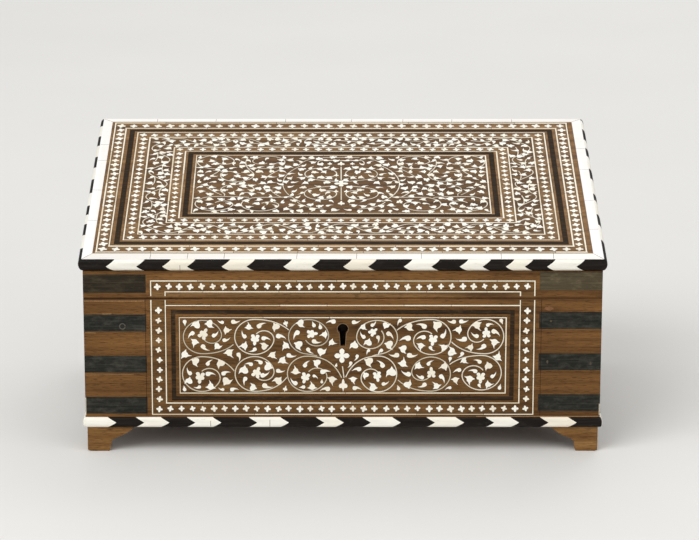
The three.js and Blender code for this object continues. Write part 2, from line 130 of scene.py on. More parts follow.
def linear(colour: Rgb, gain: float = 1.0) -> Rgba:
    """A colour in linear light.

    Args:
        colour: Its channels as they are seen, from 0 to 255.
        gain: What each linear channel is multiplied by.

    Returns:
        Red, green, blue and alpha.
    """
    channels = []
    for value in colour:
        share = value / 255
        light = share / 12.92 if share <= 0.04045 else ((share + 0.055) / 1.055) ** 2.4
        channels.append(min(light * gain, 1.0))
    return (*channels, 1.0)


class NodeSheet:
    """Lays out the nodes of one material round its Principled shader."""

    def __init__(self, name: str) -> None:
        """Starts a material.

        Args:
            name: The material's name.
        """
        self.material = bpy.data.materials.new(name)
        self.material.use_nodes = True
        self.tree = self.material.node_tree
        self.shader = self.tree.nodes["Principled BSDF"]

    def feed(self, node: bpy.types.Node, values: dict[int | str, object]) -> bpy.types.Node:
        """Gives a node's inputs their values.

        Args:
            node: The node.
            values: A number, a colour or another node's output for each input.

        Returns:
            The node.
        """
        for key, value in values.items():
            if isinstance(value, Socket):
                self.tree.links.new(value, node.inputs[key])
            else:
                node.inputs[key].default_value = value
        return node

    def node(self, kind: str, values: dict[int | str, object], **settings: str) -> bpy.types.Node:
        """A new node.

        Args:
            kind: Its type.
            values: What its inputs are given.
            **settings: Its properties.

        Returns:
            The node.
        """
        made = self.tree.nodes.new(kind)
        for key, value in settings.items():
            setattr(made, key, value)
        return self.feed(made, values)

    def noise(
        self, stretch: Vector, detail: float = 3.0, roughness: float = 0.55, distortion: float = 0.0
    ) -> Socket:
        """A noise pattern in the object's own coordinates.

        Args:
            stretch: Features per metre on each axis.
            detail: How many finer octaves it has.
            roughness: How strong those octaves are.
            distortion: How far the pattern is bent.

        Returns:
            The pattern's value.
        """
        own = self.node("ShaderNodeTexCoord", {}).outputs["Object"]
        place = self.node("ShaderNodeVectorMath", {0: own, 1: stretch}, operation="MULTIPLY")
        made = self.node("ShaderNodeTexNoise", {
            "Vector": place.outputs["Vector"], "Scale": 1.0, "Detail": detail,
            "Roughness": roughness, "Distortion": distortion,
        })
        return made.outputs["Fac"]

    def ramp(self, value: Socket, *stops: tuple[float, Rgba]) -> Socket:
        """A colour ramp.

        Args:
            value: What the ramp reads.
            *stops: Positions from 0 to 1 with their colours.

        Returns:
            The ramp's colour.
        """
        made = self.node("ShaderNodeValToRGB", {"Fac": value})
        elements = made.color_ramp.elements
        while len(elements) < len(stops):
            elements.new(0.5)
        for element, (position, colour) in zip(elements, stops):
            element.position = position
            element.color = colour
        return made.outputs["Color"]

    def levels(self, value: Socket, low: float, high: float, start: float, end: float) -> Socket:
        """Maps a value from the range low to high to the range start to end, held at its ends."""
        ranges = {"Value": value, "From Min": low, "From Max": high, "To Min": start, "To Max": end}
        return self.node("ShaderNodeMapRange", ranges).outputs["Result"]

    def mix(self, share: Socket, first: Socket, second: Rgba) -> Socket:
        """A colour with a share of a second one laid over it."""
        return self.node("ShaderNodeMix", {0: share, 6: first, 7: second}, data_type="RGBA").outputs[2]

    def shade(self, colour: Socket, value: Socket) -> Socket:
        """A colour multiplied by a value."""
        made = self.node("ShaderNodeVectorMath", {0: colour, "Scale": value}, operation="SCALE")
        return made.outputs["Vector"]

    def bump(self, height: Socket, depth: float) -> None:
        """Raises a pattern on the surface by a depth in metres."""
        made = self.node("ShaderNodeBump", {"Height": height, "Distance": depth, "Strength": 1.0})
        self.feed(self.shader, {"Normal": made.outputs["Normal"]})

    def finish(
        self, colour: Socket, roughness: Socket, metallic: float = 0.0, sheen: float = 0.5
    ) -> bpy.types.Material:
        """Joins the colour and the roughness to the shader.

        Args:
            colour: The surface's colour.
            roughness: The surface's roughness.
            metallic: 1 for metal, 0 for anything else.
            sheen: The strength of its reflections, 0.5 for plain varnish.

        Returns:
            The material.
        """
        self.feed(self.shader, {
            "Base Color": colour, "Roughness": roughness, "Metallic": metallic, "Specular IOR Level": sheen,
        })
        return self.material


@dataclass(frozen=True)
class Finish:
    """A surface finish, made once and shared by the pieces that have it."""

    name: str

    def material(self) -> bpy.types.Material:
        """The finish's material, under a name that no packed material has."""
        label = f"{self.name}_finish"
        return bpy.data.materials.get(label) or self.lay_out(NodeSheet(label))

    def lay_out(self, sheet: NodeSheet) -> bpy.types.Material:
        """Builds the material's nodes."""
        raise NotImplementedError


@dataclass(frozen=True)
class WoodFinish(Finish):
    """Oiled hardwood with growth bands, fine streaks and open pores."""

    dark: Rgb
    middle: Rgb
    light: Rgb
    grain: Grain = Grain.ALONG_X
    gloss: float = 0.55
    contrast: float = 0.2

    def lay_out(self, sheet: NodeSheet) -> bpy.types.Material:
        """Builds the wood from broad figure, streaks, stains and pores.

        Args:
            sheet: Where its nodes go.

        Returns:
            The material.
        """
        stretch = self.grain.stretch
        figure = sheet.noise(stretch(6, 130), detail=4, roughness=0.6, distortion=0.5)
        tones = zip((0.30, 0.50, 0.70), (self.dark, self.middle, self.light))
        colour = sheet.ramp(figure, *((place, linear(tone)) for place, tone in tones))
        streak = sheet.noise(stretch(24, 1100), detail=4, roughness=0.65)
        colour = sheet.shade(colour, sheet.levels(streak, 0.3, 0.7, 1 - self.contrast, 1 + self.contrast))
        stain = sheet.noise(stretch(11, 26), detail=3)
        colour = sheet.shade(colour, sheet.levels(stain, 0.3, 0.7, 0.86, 1.1))
        pores = sheet.levels(sheet.noise(stretch(160, 3600), detail=1), 0.60, 0.70, 0.0, 1.0)
        colour = sheet.mix(pores, colour, linear(self.dark, 0.45))
        relief = sheet.node("ShaderNodeMath", {0: streak, 1: pores}, operation="SUBTRACT")
        sheet.bump(relief.outputs[0], 0.00008)
        rough = sheet.levels(streak, 0.3, 0.7, self.gloss - 0.08, self.gloss + 0.12)
        return sheet.finish(colour, rough, sheen=0.12)


@dataclass(frozen=True)
class EbonyFinish(Finish):
    """Ebony with fine grain, grey wear along it and small scratches."""

    deep: Rgb
    worn: Rgb
    wear: float = 0.5
    gloss: float = 0.45
    grain: Grain = Grain.ALONG_X

    def lay_out(self, sheet: NodeSheet) -> bpy.types.Material:
        """Builds the ebony from its grain, rubbed patches and scratches.

        Args:
            sheet: Where its nodes go.

        Returns:
            The material.
        """
        stretch = self.grain.stretch
        streak = sheet.noise(stretch(30, 900), detail=5, roughness=0.7)
        patch = sheet.noise(stretch(120, 260), detail=4, roughness=0.7)
        colour = sheet.ramp(
            streak, (0.36, linear(self.deep, 0.7)), (0.52, linear(self.deep)), (0.74, linear(self.worn))
        )
        rubbed = sheet.levels(patch, 0.62 - 0.2 * self.wear, 0.78, 0.0, 1.0)
        colour = sheet.mix(rubbed, colour, linear(self.worn, 1.15))
        scratch = sheet.noise(Vector((700, 260, 900)), detail=2, distortion=1.5)
        marks = sheet.levels(scratch, 0.70, 0.74, 0.0, 0.45 * self.wear)
        colour = sheet.mix(marks, colour, linear(self.worn, 2.0))
        sheet.bump(streak, 0.00006)
        return sheet.finish(colour, sheet.levels(patch, 0.3, 0.7, self.gloss, self.gloss + 0.2), sheen=0.1)


@dataclass(frozen=True)
class BoneFinish(Finish):
    """Bone that differs a little from plate to plate, with hair-fine streaks."""

    pale: Rgb
    warm: Rgb
    grey: Rgb

    def lay_out(self, sheet: NodeSheet) -> bpy.types.Material:
        """Builds the bone from plate tints, clouding and streaks.

        Args:
            sheet: Where its nodes go.

        Returns:
            The material.
        """
        stretch = Grain.ALONG_X.stretch
        plate = sheet.node("ShaderNodeNewGeometry", {}).outputs["Random Per Island"]
        colour = sheet.ramp(
            plate, (0.0, linear(self.pale)), (0.55, linear(self.pale, 0.97)),
            (0.82, linear(self.warm)), (1.0, linear(self.grey)),
        )
        cloud = sheet.noise(Vector((70, 70, 70)), detail=4, roughness=0.6)
        stained = sheet.levels(cloud, 0.52, 0.76, 0.0, 0.55)
        colour = sheet.mix(stained, colour, linear(self.warm, 0.94))
        streak = sheet.noise(stretch(50, 1500), detail=3, roughness=0.6)
        colour = sheet.shade(colour, sheet.levels(streak, 0.3, 0.75, 1.02, 0.93))
        pits = sheet.levels(sheet.noise(stretch(300, 1900), detail=1), 0.71, 0.77, 0.0, 0.5)
        colour = sheet.mix(pits, colour, linear(self.grey, 0.55))
        sheet.bump(streak, 0.00004)
        return sheet.finish(colour, sheet.levels(cloud, 0.3, 0.7, 0.32, 0.48))


@dataclass(frozen=True)
class MetalFinish(Finish):
    """Old metal with a brown patina in its hollows and rubbed high spots."""

    bright: Rgb
    patina: Rgb

    def lay_out(self, sheet: NodeSheet) -> bpy.types.Material:
        """Builds the metal from patina, rubbing and fine pitting.

        Args:
            sheet: Where its nodes go.

        Returns:
            The material.
        """
        everywhere = Vector((260, 260, 260))
        cloud = sheet.noise(everywhere, detail=5, roughness=0.65)
        colour = sheet.ramp(cloud, (0.35, linear(self.patina)), (0.65, linear(self.bright)))
        pitting = sheet.noise(everywhere * 6, detail=2)
        colour = sheet.shade(colour, sheet.levels(pitting, 0.3, 0.7, 0.8, 1.08))
        sheet.bump(pitting, 0.00005)
        return sheet.finish(colour, sheet.levels(cloud, 0.3, 0.7, 0.5, 0.32), metallic=1.0)


@dataclass(frozen=True)
class PlainFinish(Finish):
    """A matt ground with a faint mottle, for mastic, glue lines and the floor."""

    tone: Rgb
    mottle: float = 400.0
    depth: float = 0.1

    def lay_out(self, sheet: NodeSheet) -> bpy.types.Material:
        """Builds the ground from one tone and a mottle.

        Args:
            sheet: Where its nodes go.

        Returns:
            The material.
        """
        cloud = sheet.noise(Vector((1, 1, 1)) * self.mottle, detail=3)
        dark, light = linear(self.tone, 1 - self.depth), linear(self.tone, 1 + self.depth)
        colour = sheet.ramp(cloud, (0.3, dark), (0.7, light))
        return sheet.finish(colour, sheet.levels(cloud, 0.3, 0.7, 0.7, 0.85), sheen=0.1)


ROSEWOOD_X = WoodFinish("rosewood_along_x", (78, 50, 25), (107, 74, 39), (127, 89, 49))
ROSEWOOD_Y = replace(ROSEWOOD_X, name="rosewood_along_y", grain=Grain.ALONG_Y)
LID_WOOD = WoodFinish("lid_rosewood", (98, 67, 38), (128, 93, 54), (152, 115, 70))
GROUND_WOOD_X = WoodFinish(
    "ground_wood_along_x", (73, 49, 26), (104, 74, 41), (123, 91, 53)
)
GROUND_WOOD_Y = replace(GROUND_WOOD_X, name="ground_wood_along_y", grain=Grain.ALONG_Y)
LID_GROUND_WOOD = replace(GROUND_WOOD_X, name="lid_ground_wood")
LID_ROW_WOOD = WoodFinish("lid_row_wood", (92, 64, 36), (130, 97, 60), (152, 118, 76))
RAIL_EDGE_WOOD = WoodFinish("rail_edge_wood", (88, 61, 35), (119, 88, 52), (138, 104, 65))
FOOT_WOOD = WoodFinish(
    "foot_wood", (88, 58, 29), (126, 90, 50), (150, 114, 70), gloss=0.6, contrast=0.3
)
EBONY_X = EbonyFinish("ebony_along_x", (46, 34, 21), (72, 55, 37))
EBONY_Y = replace(EBONY_X, name="ebony_along_y", grain=Grain.ALONG_Y)
LID_EBONY = EbonyFinish("lid_ebony", (42, 30, 14), (68, 50, 28), gloss=0.6)
BAND_EBONY = EbonyFinish("band_ebony", (35, 35, 31), (62, 61, 54), 0.8, 0.55)
# One ebony for the lid's corner bands: a darker copy for the left bands as painted shade, a lighter copy for
# the right bands as painted light.
LID_BAND_LEFT_SHADE = EbonyFinish("lid_band_left_shade", (44, 38, 29), (64, 56, 42), 0.7, 0.55)
LID_BAND_RIGHT_LIT = EbonyFinish("lid_band_right_lit", (77, 68, 51), (99, 88, 67), 0.6, 0.55)
BEAD_EBONY = EbonyFinish("bead_ebony", (27, 23, 20), (44, 38, 33), 0.3, 0.38)
BONE = BoneFinish("bone", (246, 243, 231), (243, 236, 218), (234, 225, 206))
BORDER_BONE = BoneFinish("border_bone", (246, 244, 242), (241, 236, 228), (230, 225, 217))
LINE_BONE = BoneFinish("line_bone", (240, 228, 204), (226, 206, 174), (200, 182, 152))
STEM_BONE = BoneFinish("stem_bone", (222, 210, 188), (202, 187, 160), (176, 164, 142))
# Pale bone for the lines on the lowest corner edges: partly worn edge, partly painted highlight.
WORN_LIT_BONE = BoneFinish("worn_lit_bone", (214, 204, 182), (196, 176, 142), (170, 158, 136))
MASTIC = PlainFinish("mastic", (52, 36, 22))
GLUE = PlainFinish("glue", (112, 98, 80))
# Dark lines for board joints, also used for the painted shade in the seam under the lid rail.
SEAM = PlainFinish("seam", (34, 22, 13))
# Pale wood for worn edges, also used for the painted highlight along the front wall's top edge.
SCUFF = PlainFinish("scuff", (146, 112, 76), 700.0, 0.25)
FAINT_SCUFF = PlainFinish("faint_scuff", (122, 86, 58), 500.0, 0.2)
KEYHOLE_RIM = PlainFinish("keyhole_rim", (126, 102, 78), 900.0, 0.3)
KNOT = PlainFinish("knot", (84, 76, 62), 900.0, 0.3)
PEG = PlainFinish("peg", (88, 84, 75), 900.0, 0.2)
BRASS = MetalFinish("brass", (190, 150, 84), (92, 66, 34))
IRON = MetalFinish("iron", (120, 114, 106), (54, 46, 40))
DARK_IRON = MetalFinish("dark_iron", (38, 33, 29), (18, 15, 13))
FLOOR = PlainFinish("floor", (226, 225, 222), 3.0, 0.01)


@dataclass(frozen=True)
class Plane:
    """A flat face of the box that inlay lies in."""

    origin: Vector
    right: Vector
    up: Vector
    body: Body

    @property
    def normal(self) -> Vector:
        """The direction out of the face."""
        return self.right.cross(self.up)

    def at(self, point: Point, lift: float = 0.0) -> Vector:
        """The place of a flat point, in metres, lifted off the face by some millimetres."""
        flat = self.right * point[0] + self.up * point[1]
        return self.origin + (flat + self.normal * lift) * MM


WALLS = {
    Side.FRONT: ("front_board", 0, Vector((1, 0, 0))),
    Side.RIGHT: ("right_side_board", 1, Vector((0, 1, 0))),
    Side.BACK: ("back_board", 1, Vector((-1, 0, 0))),
    Side.LEFT: ("left_side_board", 0, Vector((0, -1, 0))),
}


def wall_plane(side: Side, body: Body) -> Plane:
    """The outer face of one side, with u from its middle and v from the floor up.

    Args:
        side: Which side of the box.
        body: The part that carries the inlay.

    Returns:
        The face.
    """
    board, end, right = WALLS[side]
    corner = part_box(board)[end]
    origin = Vector((0, corner.y, 0)) if side.across else Vector((corner.x, 0, 0))
    return Plane(origin, right, Vector((0, 0, 1)), body)


def between(start: Point, end: Point, share: float) -> Point:
    """The point at a share of the way from one point to another."""
    return (start[0] + (end[0] - start[0]) * share, start[1] + (end[1] - start[1]) * share)


def on_ellipse(centre: Point, radii: Point, angle: float) -> Point:
    """The point of an ellipse at an angle in radians."""
    return (centre[0] + radii[0] * math.cos(angle), centre[1] + radii[1] * math.sin(angle))


def signed_area(ring: Line) -> float:
    """Twice a ring's area, positive where it runs anticlockwise."""
    return sum(a[0] * b[1] - b[0] * a[1] for a, b in zip(ring, (*ring[1:], ring[0])))


def curve(start: Point, control: Point, end: Point, steps: int) -> list[Point]:
    """Points along a quadratic curve, without its end.

    Args:
        start: Where it begins.
        control: The point that it is drawn towards.
        end: Where it ends.
        steps: How many points it has.

    Returns:
        The points.
    """
    points = []
    for step in range(steps):
        t = step / steps
        near, mid, far = (1 - t) ** 2, 2 * t * (1 - t), t**2
        u, v = (near * start[axis] + mid * control[axis] + far * end[axis] for axis in (0, 1))
        points.append((u, v))
    return points


def resample(line: Line, spacing: float = STEM_STEP) -> list[Point]:
    """A line's points at an even spacing.

    Args:
        line: The line.
        spacing: The rough distance between points.

    Returns:
        The new points, with the line's own ends.
    """
    places = np.array(line, float)
    steps = np.hypot(*np.diff(places, axis=0).T)
    travelled = np.concatenate(([0.0], np.cumsum(steps)))
    count = max(2, round(travelled[-1] / spacing) + 1)
    even = np.linspace(0.0, travelled[-1], count)
    us, vs = (np.interp(even, travelled, places[:, axis]) for axis in (0, 1))
    return [(float(u), float(v)) for u, v in zip(us, vs)]


def bent(start: Point, control: Point, end: Point, steps: int) -> list[Point]:
    """An evenly spaced curve, with its end."""
    return resample([*curve(start, control, end, steps), end])


def both_halves(half: Sequence[Knot], tip: Point) -> tuple[Knot, ...]:
    """Completes an outline that is the same on both sides of its axis.

    Args:
        half: Knots of the lower half, from the foot.
        tip: The outline's tip, on the axis.

    Returns:
        The knots of the whole outline.
    """
    anchors = [anchor for anchor, _ in half] + [tip]
    upper = []
    for index in range(len(half) - 1, -1, -1):
        anchor, control = anchors[index + 1], half[index][1]
        upper.append(((anchor[0], -anchor[1]), (control[0], -control[1])))
    return (*half, *upper)


def four_petals(notch: float, belly: float, swell: float) -> tuple[Knot, ...]:
    """Knots of a flower with four petals, half a unit long each.

    Args:
        notch: How far the notches lie from the middle, on each axis.
        belly: How far out the petals are widest.
        swell: How far the petals swell sideways.

    Returns:
        The knots of the outline.
    """
    knots = []
    for cos, sin in ((1, 0), (0, 1), (-1, 0), (0, -1)):
        for knot in (((notch, -notch), (belly, -swell)), ((0.5, 0.0), (belly, swell))):
            knots.append(tuple((u * cos - v * sin, u * sin + v * cos) for u, v in knot))
    return tuple(knots)


LEAF_KNOTS: dict[Leaf, tuple[Knot, ...]] = {
    Leaf.IVY: (
        ((0.54, 0.12), (0.26, 0.05)), ((0.14, 0.12), (0.08, 0.26)), ((-0.05, 0.26), (-0.10, 0.32)),
        ((-0.20, 0.54), (-0.30, 0.30)), ((-0.42, 0.18), (-0.52, 0.00)), ((-0.42, -0.14), (-0.36, -0.26)),
        ((-0.36, -0.52), (-0.20, -0.26)), ((-0.10, -0.25), (0.08, -0.28)), ((0.16, -0.10), (0.28, -0.04)),
    ),
    Leaf.VINE: (
        ((0.52, 0.27), (0.34, 0.06)), ((0.13, 0.15), (0.02, 0.36)), ((-0.24, 0.36), (-0.52, 0.34)),
        ((-0.46, 0.02), (-0.46, -0.14)), ((-0.34, -0.24), (-0.36, -0.36)), ((-0.28, -0.53), (-0.14, -0.36)),
        ((-0.02, -0.35), (0.32, -0.34)), ((0.35, -0.06), (0.45, 0.06)),
    ),
    Leaf.COMMA: (
        ((0.54, 0.18), (0.24, 0.00)), ((-0.02, 0.08), (-0.06, 0.24)), ((-0.26, 0.22), (-0.48, 0.20)),
        ((-0.47, -0.01), (-0.46, -0.24)), ((-0.24, -0.23), (0.20, -0.21)),
    ),
    Leaf.BUD: both_halves((((-0.5, 0.0), (-0.50, -0.32)), ((-0.10, -0.27), (0.12, -0.08))), (0.5, 0.0)),
    Leaf.FLEUR: both_halves((
        ((-0.50, 0.00), (-0.30, -0.05)), ((-0.22, -0.10), (-0.28, -0.36)),
        ((-0.02, -0.31), (0.12, -0.26)), ((0.12, -0.11), (0.36, -0.10)),
    ), (0.5, 0.0)),
    Leaf.BLOSSOM: both_halves((
        ((-0.14, 0.00), (-0.52, -0.02)), ((-0.46, -0.27), (-0.38, -0.50)), ((-0.14, -0.28), (-0.02, -0.46)),
        ((0.17, -0.30), (0.18, -0.16)), ((0.22, -0.13), (0.48, -0.20)),
    ), (0.56, 0.0)),
    Leaf.QUATREFOIL: four_petals(0.14, 0.33, 0.26),
    Leaf.CROSS: four_petals(0.09, 0.39, 0.29),
}
KNOT_STEPS = 4
LEAF_OUTLINES: dict[Leaf, list[Point]] = {
    kind: [
        point
        for (anchor, control), (following, _) in zip(knots, (*knots[1:], knots[0]))
        for point in curve(anchor, control, following, KNOT_STEPS)
    ]
    for kind, knots in LEAF_KNOTS.items()
}


def make_piece(
    name: str, vertices: Sequence[Vector], faces: Sequence[Face], body: Body, slot: Slot, *finishes: Finish
) -> bpy.types.Object:
    """Makes a mesh piece.

    Args:
        name: The piece's name.
        vertices: Its corners, in metres.
        faces: The corners of each face.
        body: What it moves with.
        slot: Not used; the finish that can be repainted.
        *finishes: The finishes of its material slots.

    Returns:
        The piece.
    """
    mesh = bpy.data.meshes.new(name)
    mesh.from_pydata(vertices, [], faces)
    mesh.update()
    piece = bpy.data.objects.new(name, mesh)
    bpy.context.scene.collection.objects.link(piece)
    for finish in finishes:
        mesh.materials.append(finish.material())
    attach(piece, body.value)
    log.info("%s: %d faces", name, len(faces))
    return piece


@dataclass
class Inlay:
    """Thin closed plates on one flat face, gathered into one piece."""

    name: str
    plane: Plane
    finish: Finish
    slot: Slot = Slot.ROSEWOOD
    depth: float = 0.3
    vertices: list[Vector] = field(default_factory=list)
    faces: list[Face] = field(default_factory=list)

    def plate(self, outline: Line, proud: float) -> None:
        """Adds a plate.

        Args:
            outline: Its corners.
            proud: How far it stands above the face, in millimetres.
        """
        ring = list(outline)
        if signed_area(ring) < 0:
            ring.reverse()
        first, count = len(self.vertices), len(ring)
        self.vertices += [self.plane.at(point, lift) for lift in (proud, -self.depth) for point in ring]
        self.faces.append(tuple(range(first, first + count)))
        self.faces.append(tuple(range(first + 2 * count - 1, first + count - 1, -1)))
        for here in range(count):
            after = (here + 1) % count
            self.faces.append((first + here, first + count + here, first + count + after, first + after))

    def ribbon(self, line: Line, width: float, proud: float) -> None:
        """Adds a strip along a line.

        Args:
            line: Its middle.
            width: Its width.
            proud: How far it stands above the face, in millimetres.
        """
        first, count = len(self.vertices), len(line)
        middle = np.array(line, float)
        tangent = np.gradient(middle, axis=0)
        tangent /= np.maximum(np.hypot(*tangent.T), 1e-9)[:, None]
        across = np.column_stack((-tangent[:, 1], tangent[:, 0])) * width / 2
        for lift in (proud, -self.depth):
            for edge in (middle - across, middle + across):
                self.vertices += [self.plane.at((u, v), lift) for u, v in edge]
        near, far, near_low, far_low = (first + count * row for row in range(4))
        pairs = ((near, far), (far_low, near_low), (near_low, near), (far, far_low))
        for here in range(count - 1):
            after = here + 1
            self.faces += [(a + here, a + after, b + after, b + here) for a, b in pairs]
        last = count - 1
        self.faces.append((near, far, far_low, near_low))
        self.faces.append((near + last, near_low + last, far_low + last, far + last))

    def build(self) -> None:
        """Makes the piece and lets it ride on its body."""
        make_piece(self.name, self.vertices, self.faces, self.plane.body, self.slot, self.finish)


def lay_plates(inlay: Inlay, outlines: Iterable[Line], lift: float = GROUND_LIFT) -> None:
    """Makes a piece of plates that all stand as high.

    Args:
        inlay: The piece.
        outlines: The plates' corners.
        lift: How far they stand above the face.
    """
    for outline in outlines:
        inlay.plate(outline, lift)
    inlay.build()


def lay_strips(inlay: Inlay, strips: Iterable[tuple[Line, float]], lift: float) -> None:
    """Makes a piece of strips that all stand as high.

    Args:
        inlay: The piece.
        strips: Their lines and widths.
        lift: How far they stand above the face.
    """
    for line, width in strips:
        inlay.ribbon(line, width, lift)
    inlay.build()


def rectangle(half_width: float, low: float, high: float) -> list[Point]:
    """The corners of a closed rectangle, from the lower left and back to it."""
    start = (-half_width, low)
    return [start, (half_width, low), (half_width, high), (-half_width, high), start]


def mitred(outer: Line, inner: Line, sides: Iterable[int] = range(4)) -> list[list[Point]]:
    """The strips of a flat frame, mitred at its corners."""
    return [[outer[side], outer[side + 1], inner[side + 1], inner[side]] for side in sides]


def between_sides(place: Point, corners: Line, margin: float) -> bool:
    """True inside a rectangle, but for a margin along its edges."""
    (left, low), _, (right, high), *_ = corners
    return left + margin < place[0] < right - margin and low + margin < place[1] < high - margin


@dataclass(frozen=True)
class Sprig:
    """One bone leaf of a scroll, placed from the ring's centre.

    The heading is where its tip points, in degrees. A flipped comma bends its
    tail clockwise.
    """

    kind: Leaf
    du: float
    dv: float
    heading: float
    size: float
    flip: bool = False

    def mirrored(self) -> "Sprig":
        """The same leaf on the other side of the v axis."""
        return replace(self, du=-self.du, heading=180 - self.heading, flip=not self.flip)


@dataclass(frozen=True)
class Scroll:
    """A stem that runs round a ring and hooks back towards its middle.

    Angles are in degrees, anticlockwise from the right. A negative sweep runs
    clockwise. The lead and the sprigs are measured from the ring's centre.
    """

    centre: Point
    radii: Point
    enter: float
    sweep: float
    lead: Point | None = None
    hook: float = 0.5
    hook_sweep: float = 165.0
    sprigs: tuple[Sprig, ...] = ()
    step: float = 7.0

    def mirrored(self, axis: float) -> "Scroll":
        """The same scroll on the other side of an upright axis.

        Args:
            axis: The u of the axis.

        Returns:
            The mirrored scroll.
        """
        return replace(
            self,
            centre=(2 * axis - self.centre[0], self.centre[1]),
            enter=180 - self.enter,
            sweep=-self.sweep,
            lead=self.lead and (-self.lead[0], self.lead[1]),
            sprigs=tuple(sprig.mirrored() for sprig in self.sprigs),
        )

    def on_ring(self, degrees: float, share: float = 1.0) -> Point:
        """A point on the ring, or inside it by a share of its radii."""
        return on_ellipse(self.centre, (self.radii[0] * share, self.radii[1] * share), math.radians(degrees))

    def stem(self) -> list[Point]:
        """The whole line of the stem, from its lead to the end of its hook."""
        line: list[Point] = []
        turn = math.copysign(1.0, self.sweep)
        if self.lead is not None:
            start = (self.centre[0] + self.lead[0], self.centre[1] + self.lead[1])
            entry = self.on_ring(self.enter)
            angle = math.radians(self.enter)
            reach = turn * 0.6 * math.dist(start, entry)
            control = (entry[0] + reach * math.sin(angle), entry[1] - reach * math.cos(angle))
            line += curve(start, control, entry, 16)
        ring_steps = round(abs(self.sweep) / self.step)
        line += [self.on_ring(self.enter + self.sweep * i / ring_steps) for i in range(ring_steps + 1)]
        last = self.enter + self.sweep
        eye = self.on_ring(last, 1 - self.hook)
        inner = (self.radii[0] * self.hook, self.radii[1] * self.hook)
        hook_steps = round(self.hook_sweep / self.step)
        for i in range(1, hook_steps + 1):
            line.append(on_ellipse(eye, inner, math.radians(last + turn * self.hook_sweep * i / hook_steps)))
        return resample(line)


class StemField:
    """Finds the stem nearest to a place."""

    def __init__(self, stems: Iterable[Line]) -> None:
        """Gathers the stems' points and directions.

        Args:
            stems: Evenly spaced lines.
        """
        lines = [np.array(stem, float) for stem in stems]
        self.points = np.concatenate(lines)
        self.tangents = np.concatenate([np.gradient(line, axis=0) for line in lines])

    def clearance(self, place: Point) -> float:
        """The distance from a place to the nearest stem."""
        return float(np.sqrt(((self.points - place) ** 2).sum(1).min()))

    def heading(self, place: Point, lean: float = 0.7) -> float:
        """The direction in which a leaf at a place points.

        Args:
            place: The leaf's middle.
            lean: How much it follows the stem rather than standing out from it.

        Returns:
            An angle in radians.
        """
        nearest = int(((self.points - place) ** 2).sum(1).argmin())
        out = np.array(place) - self.points[nearest]
        along = self.tangents[nearest]
        out = out / max(np.hypot(*out), 1e-6) + lean * along / max(np.hypot(*along), 1e-6)
        return math.atan2(out[1], out[0])


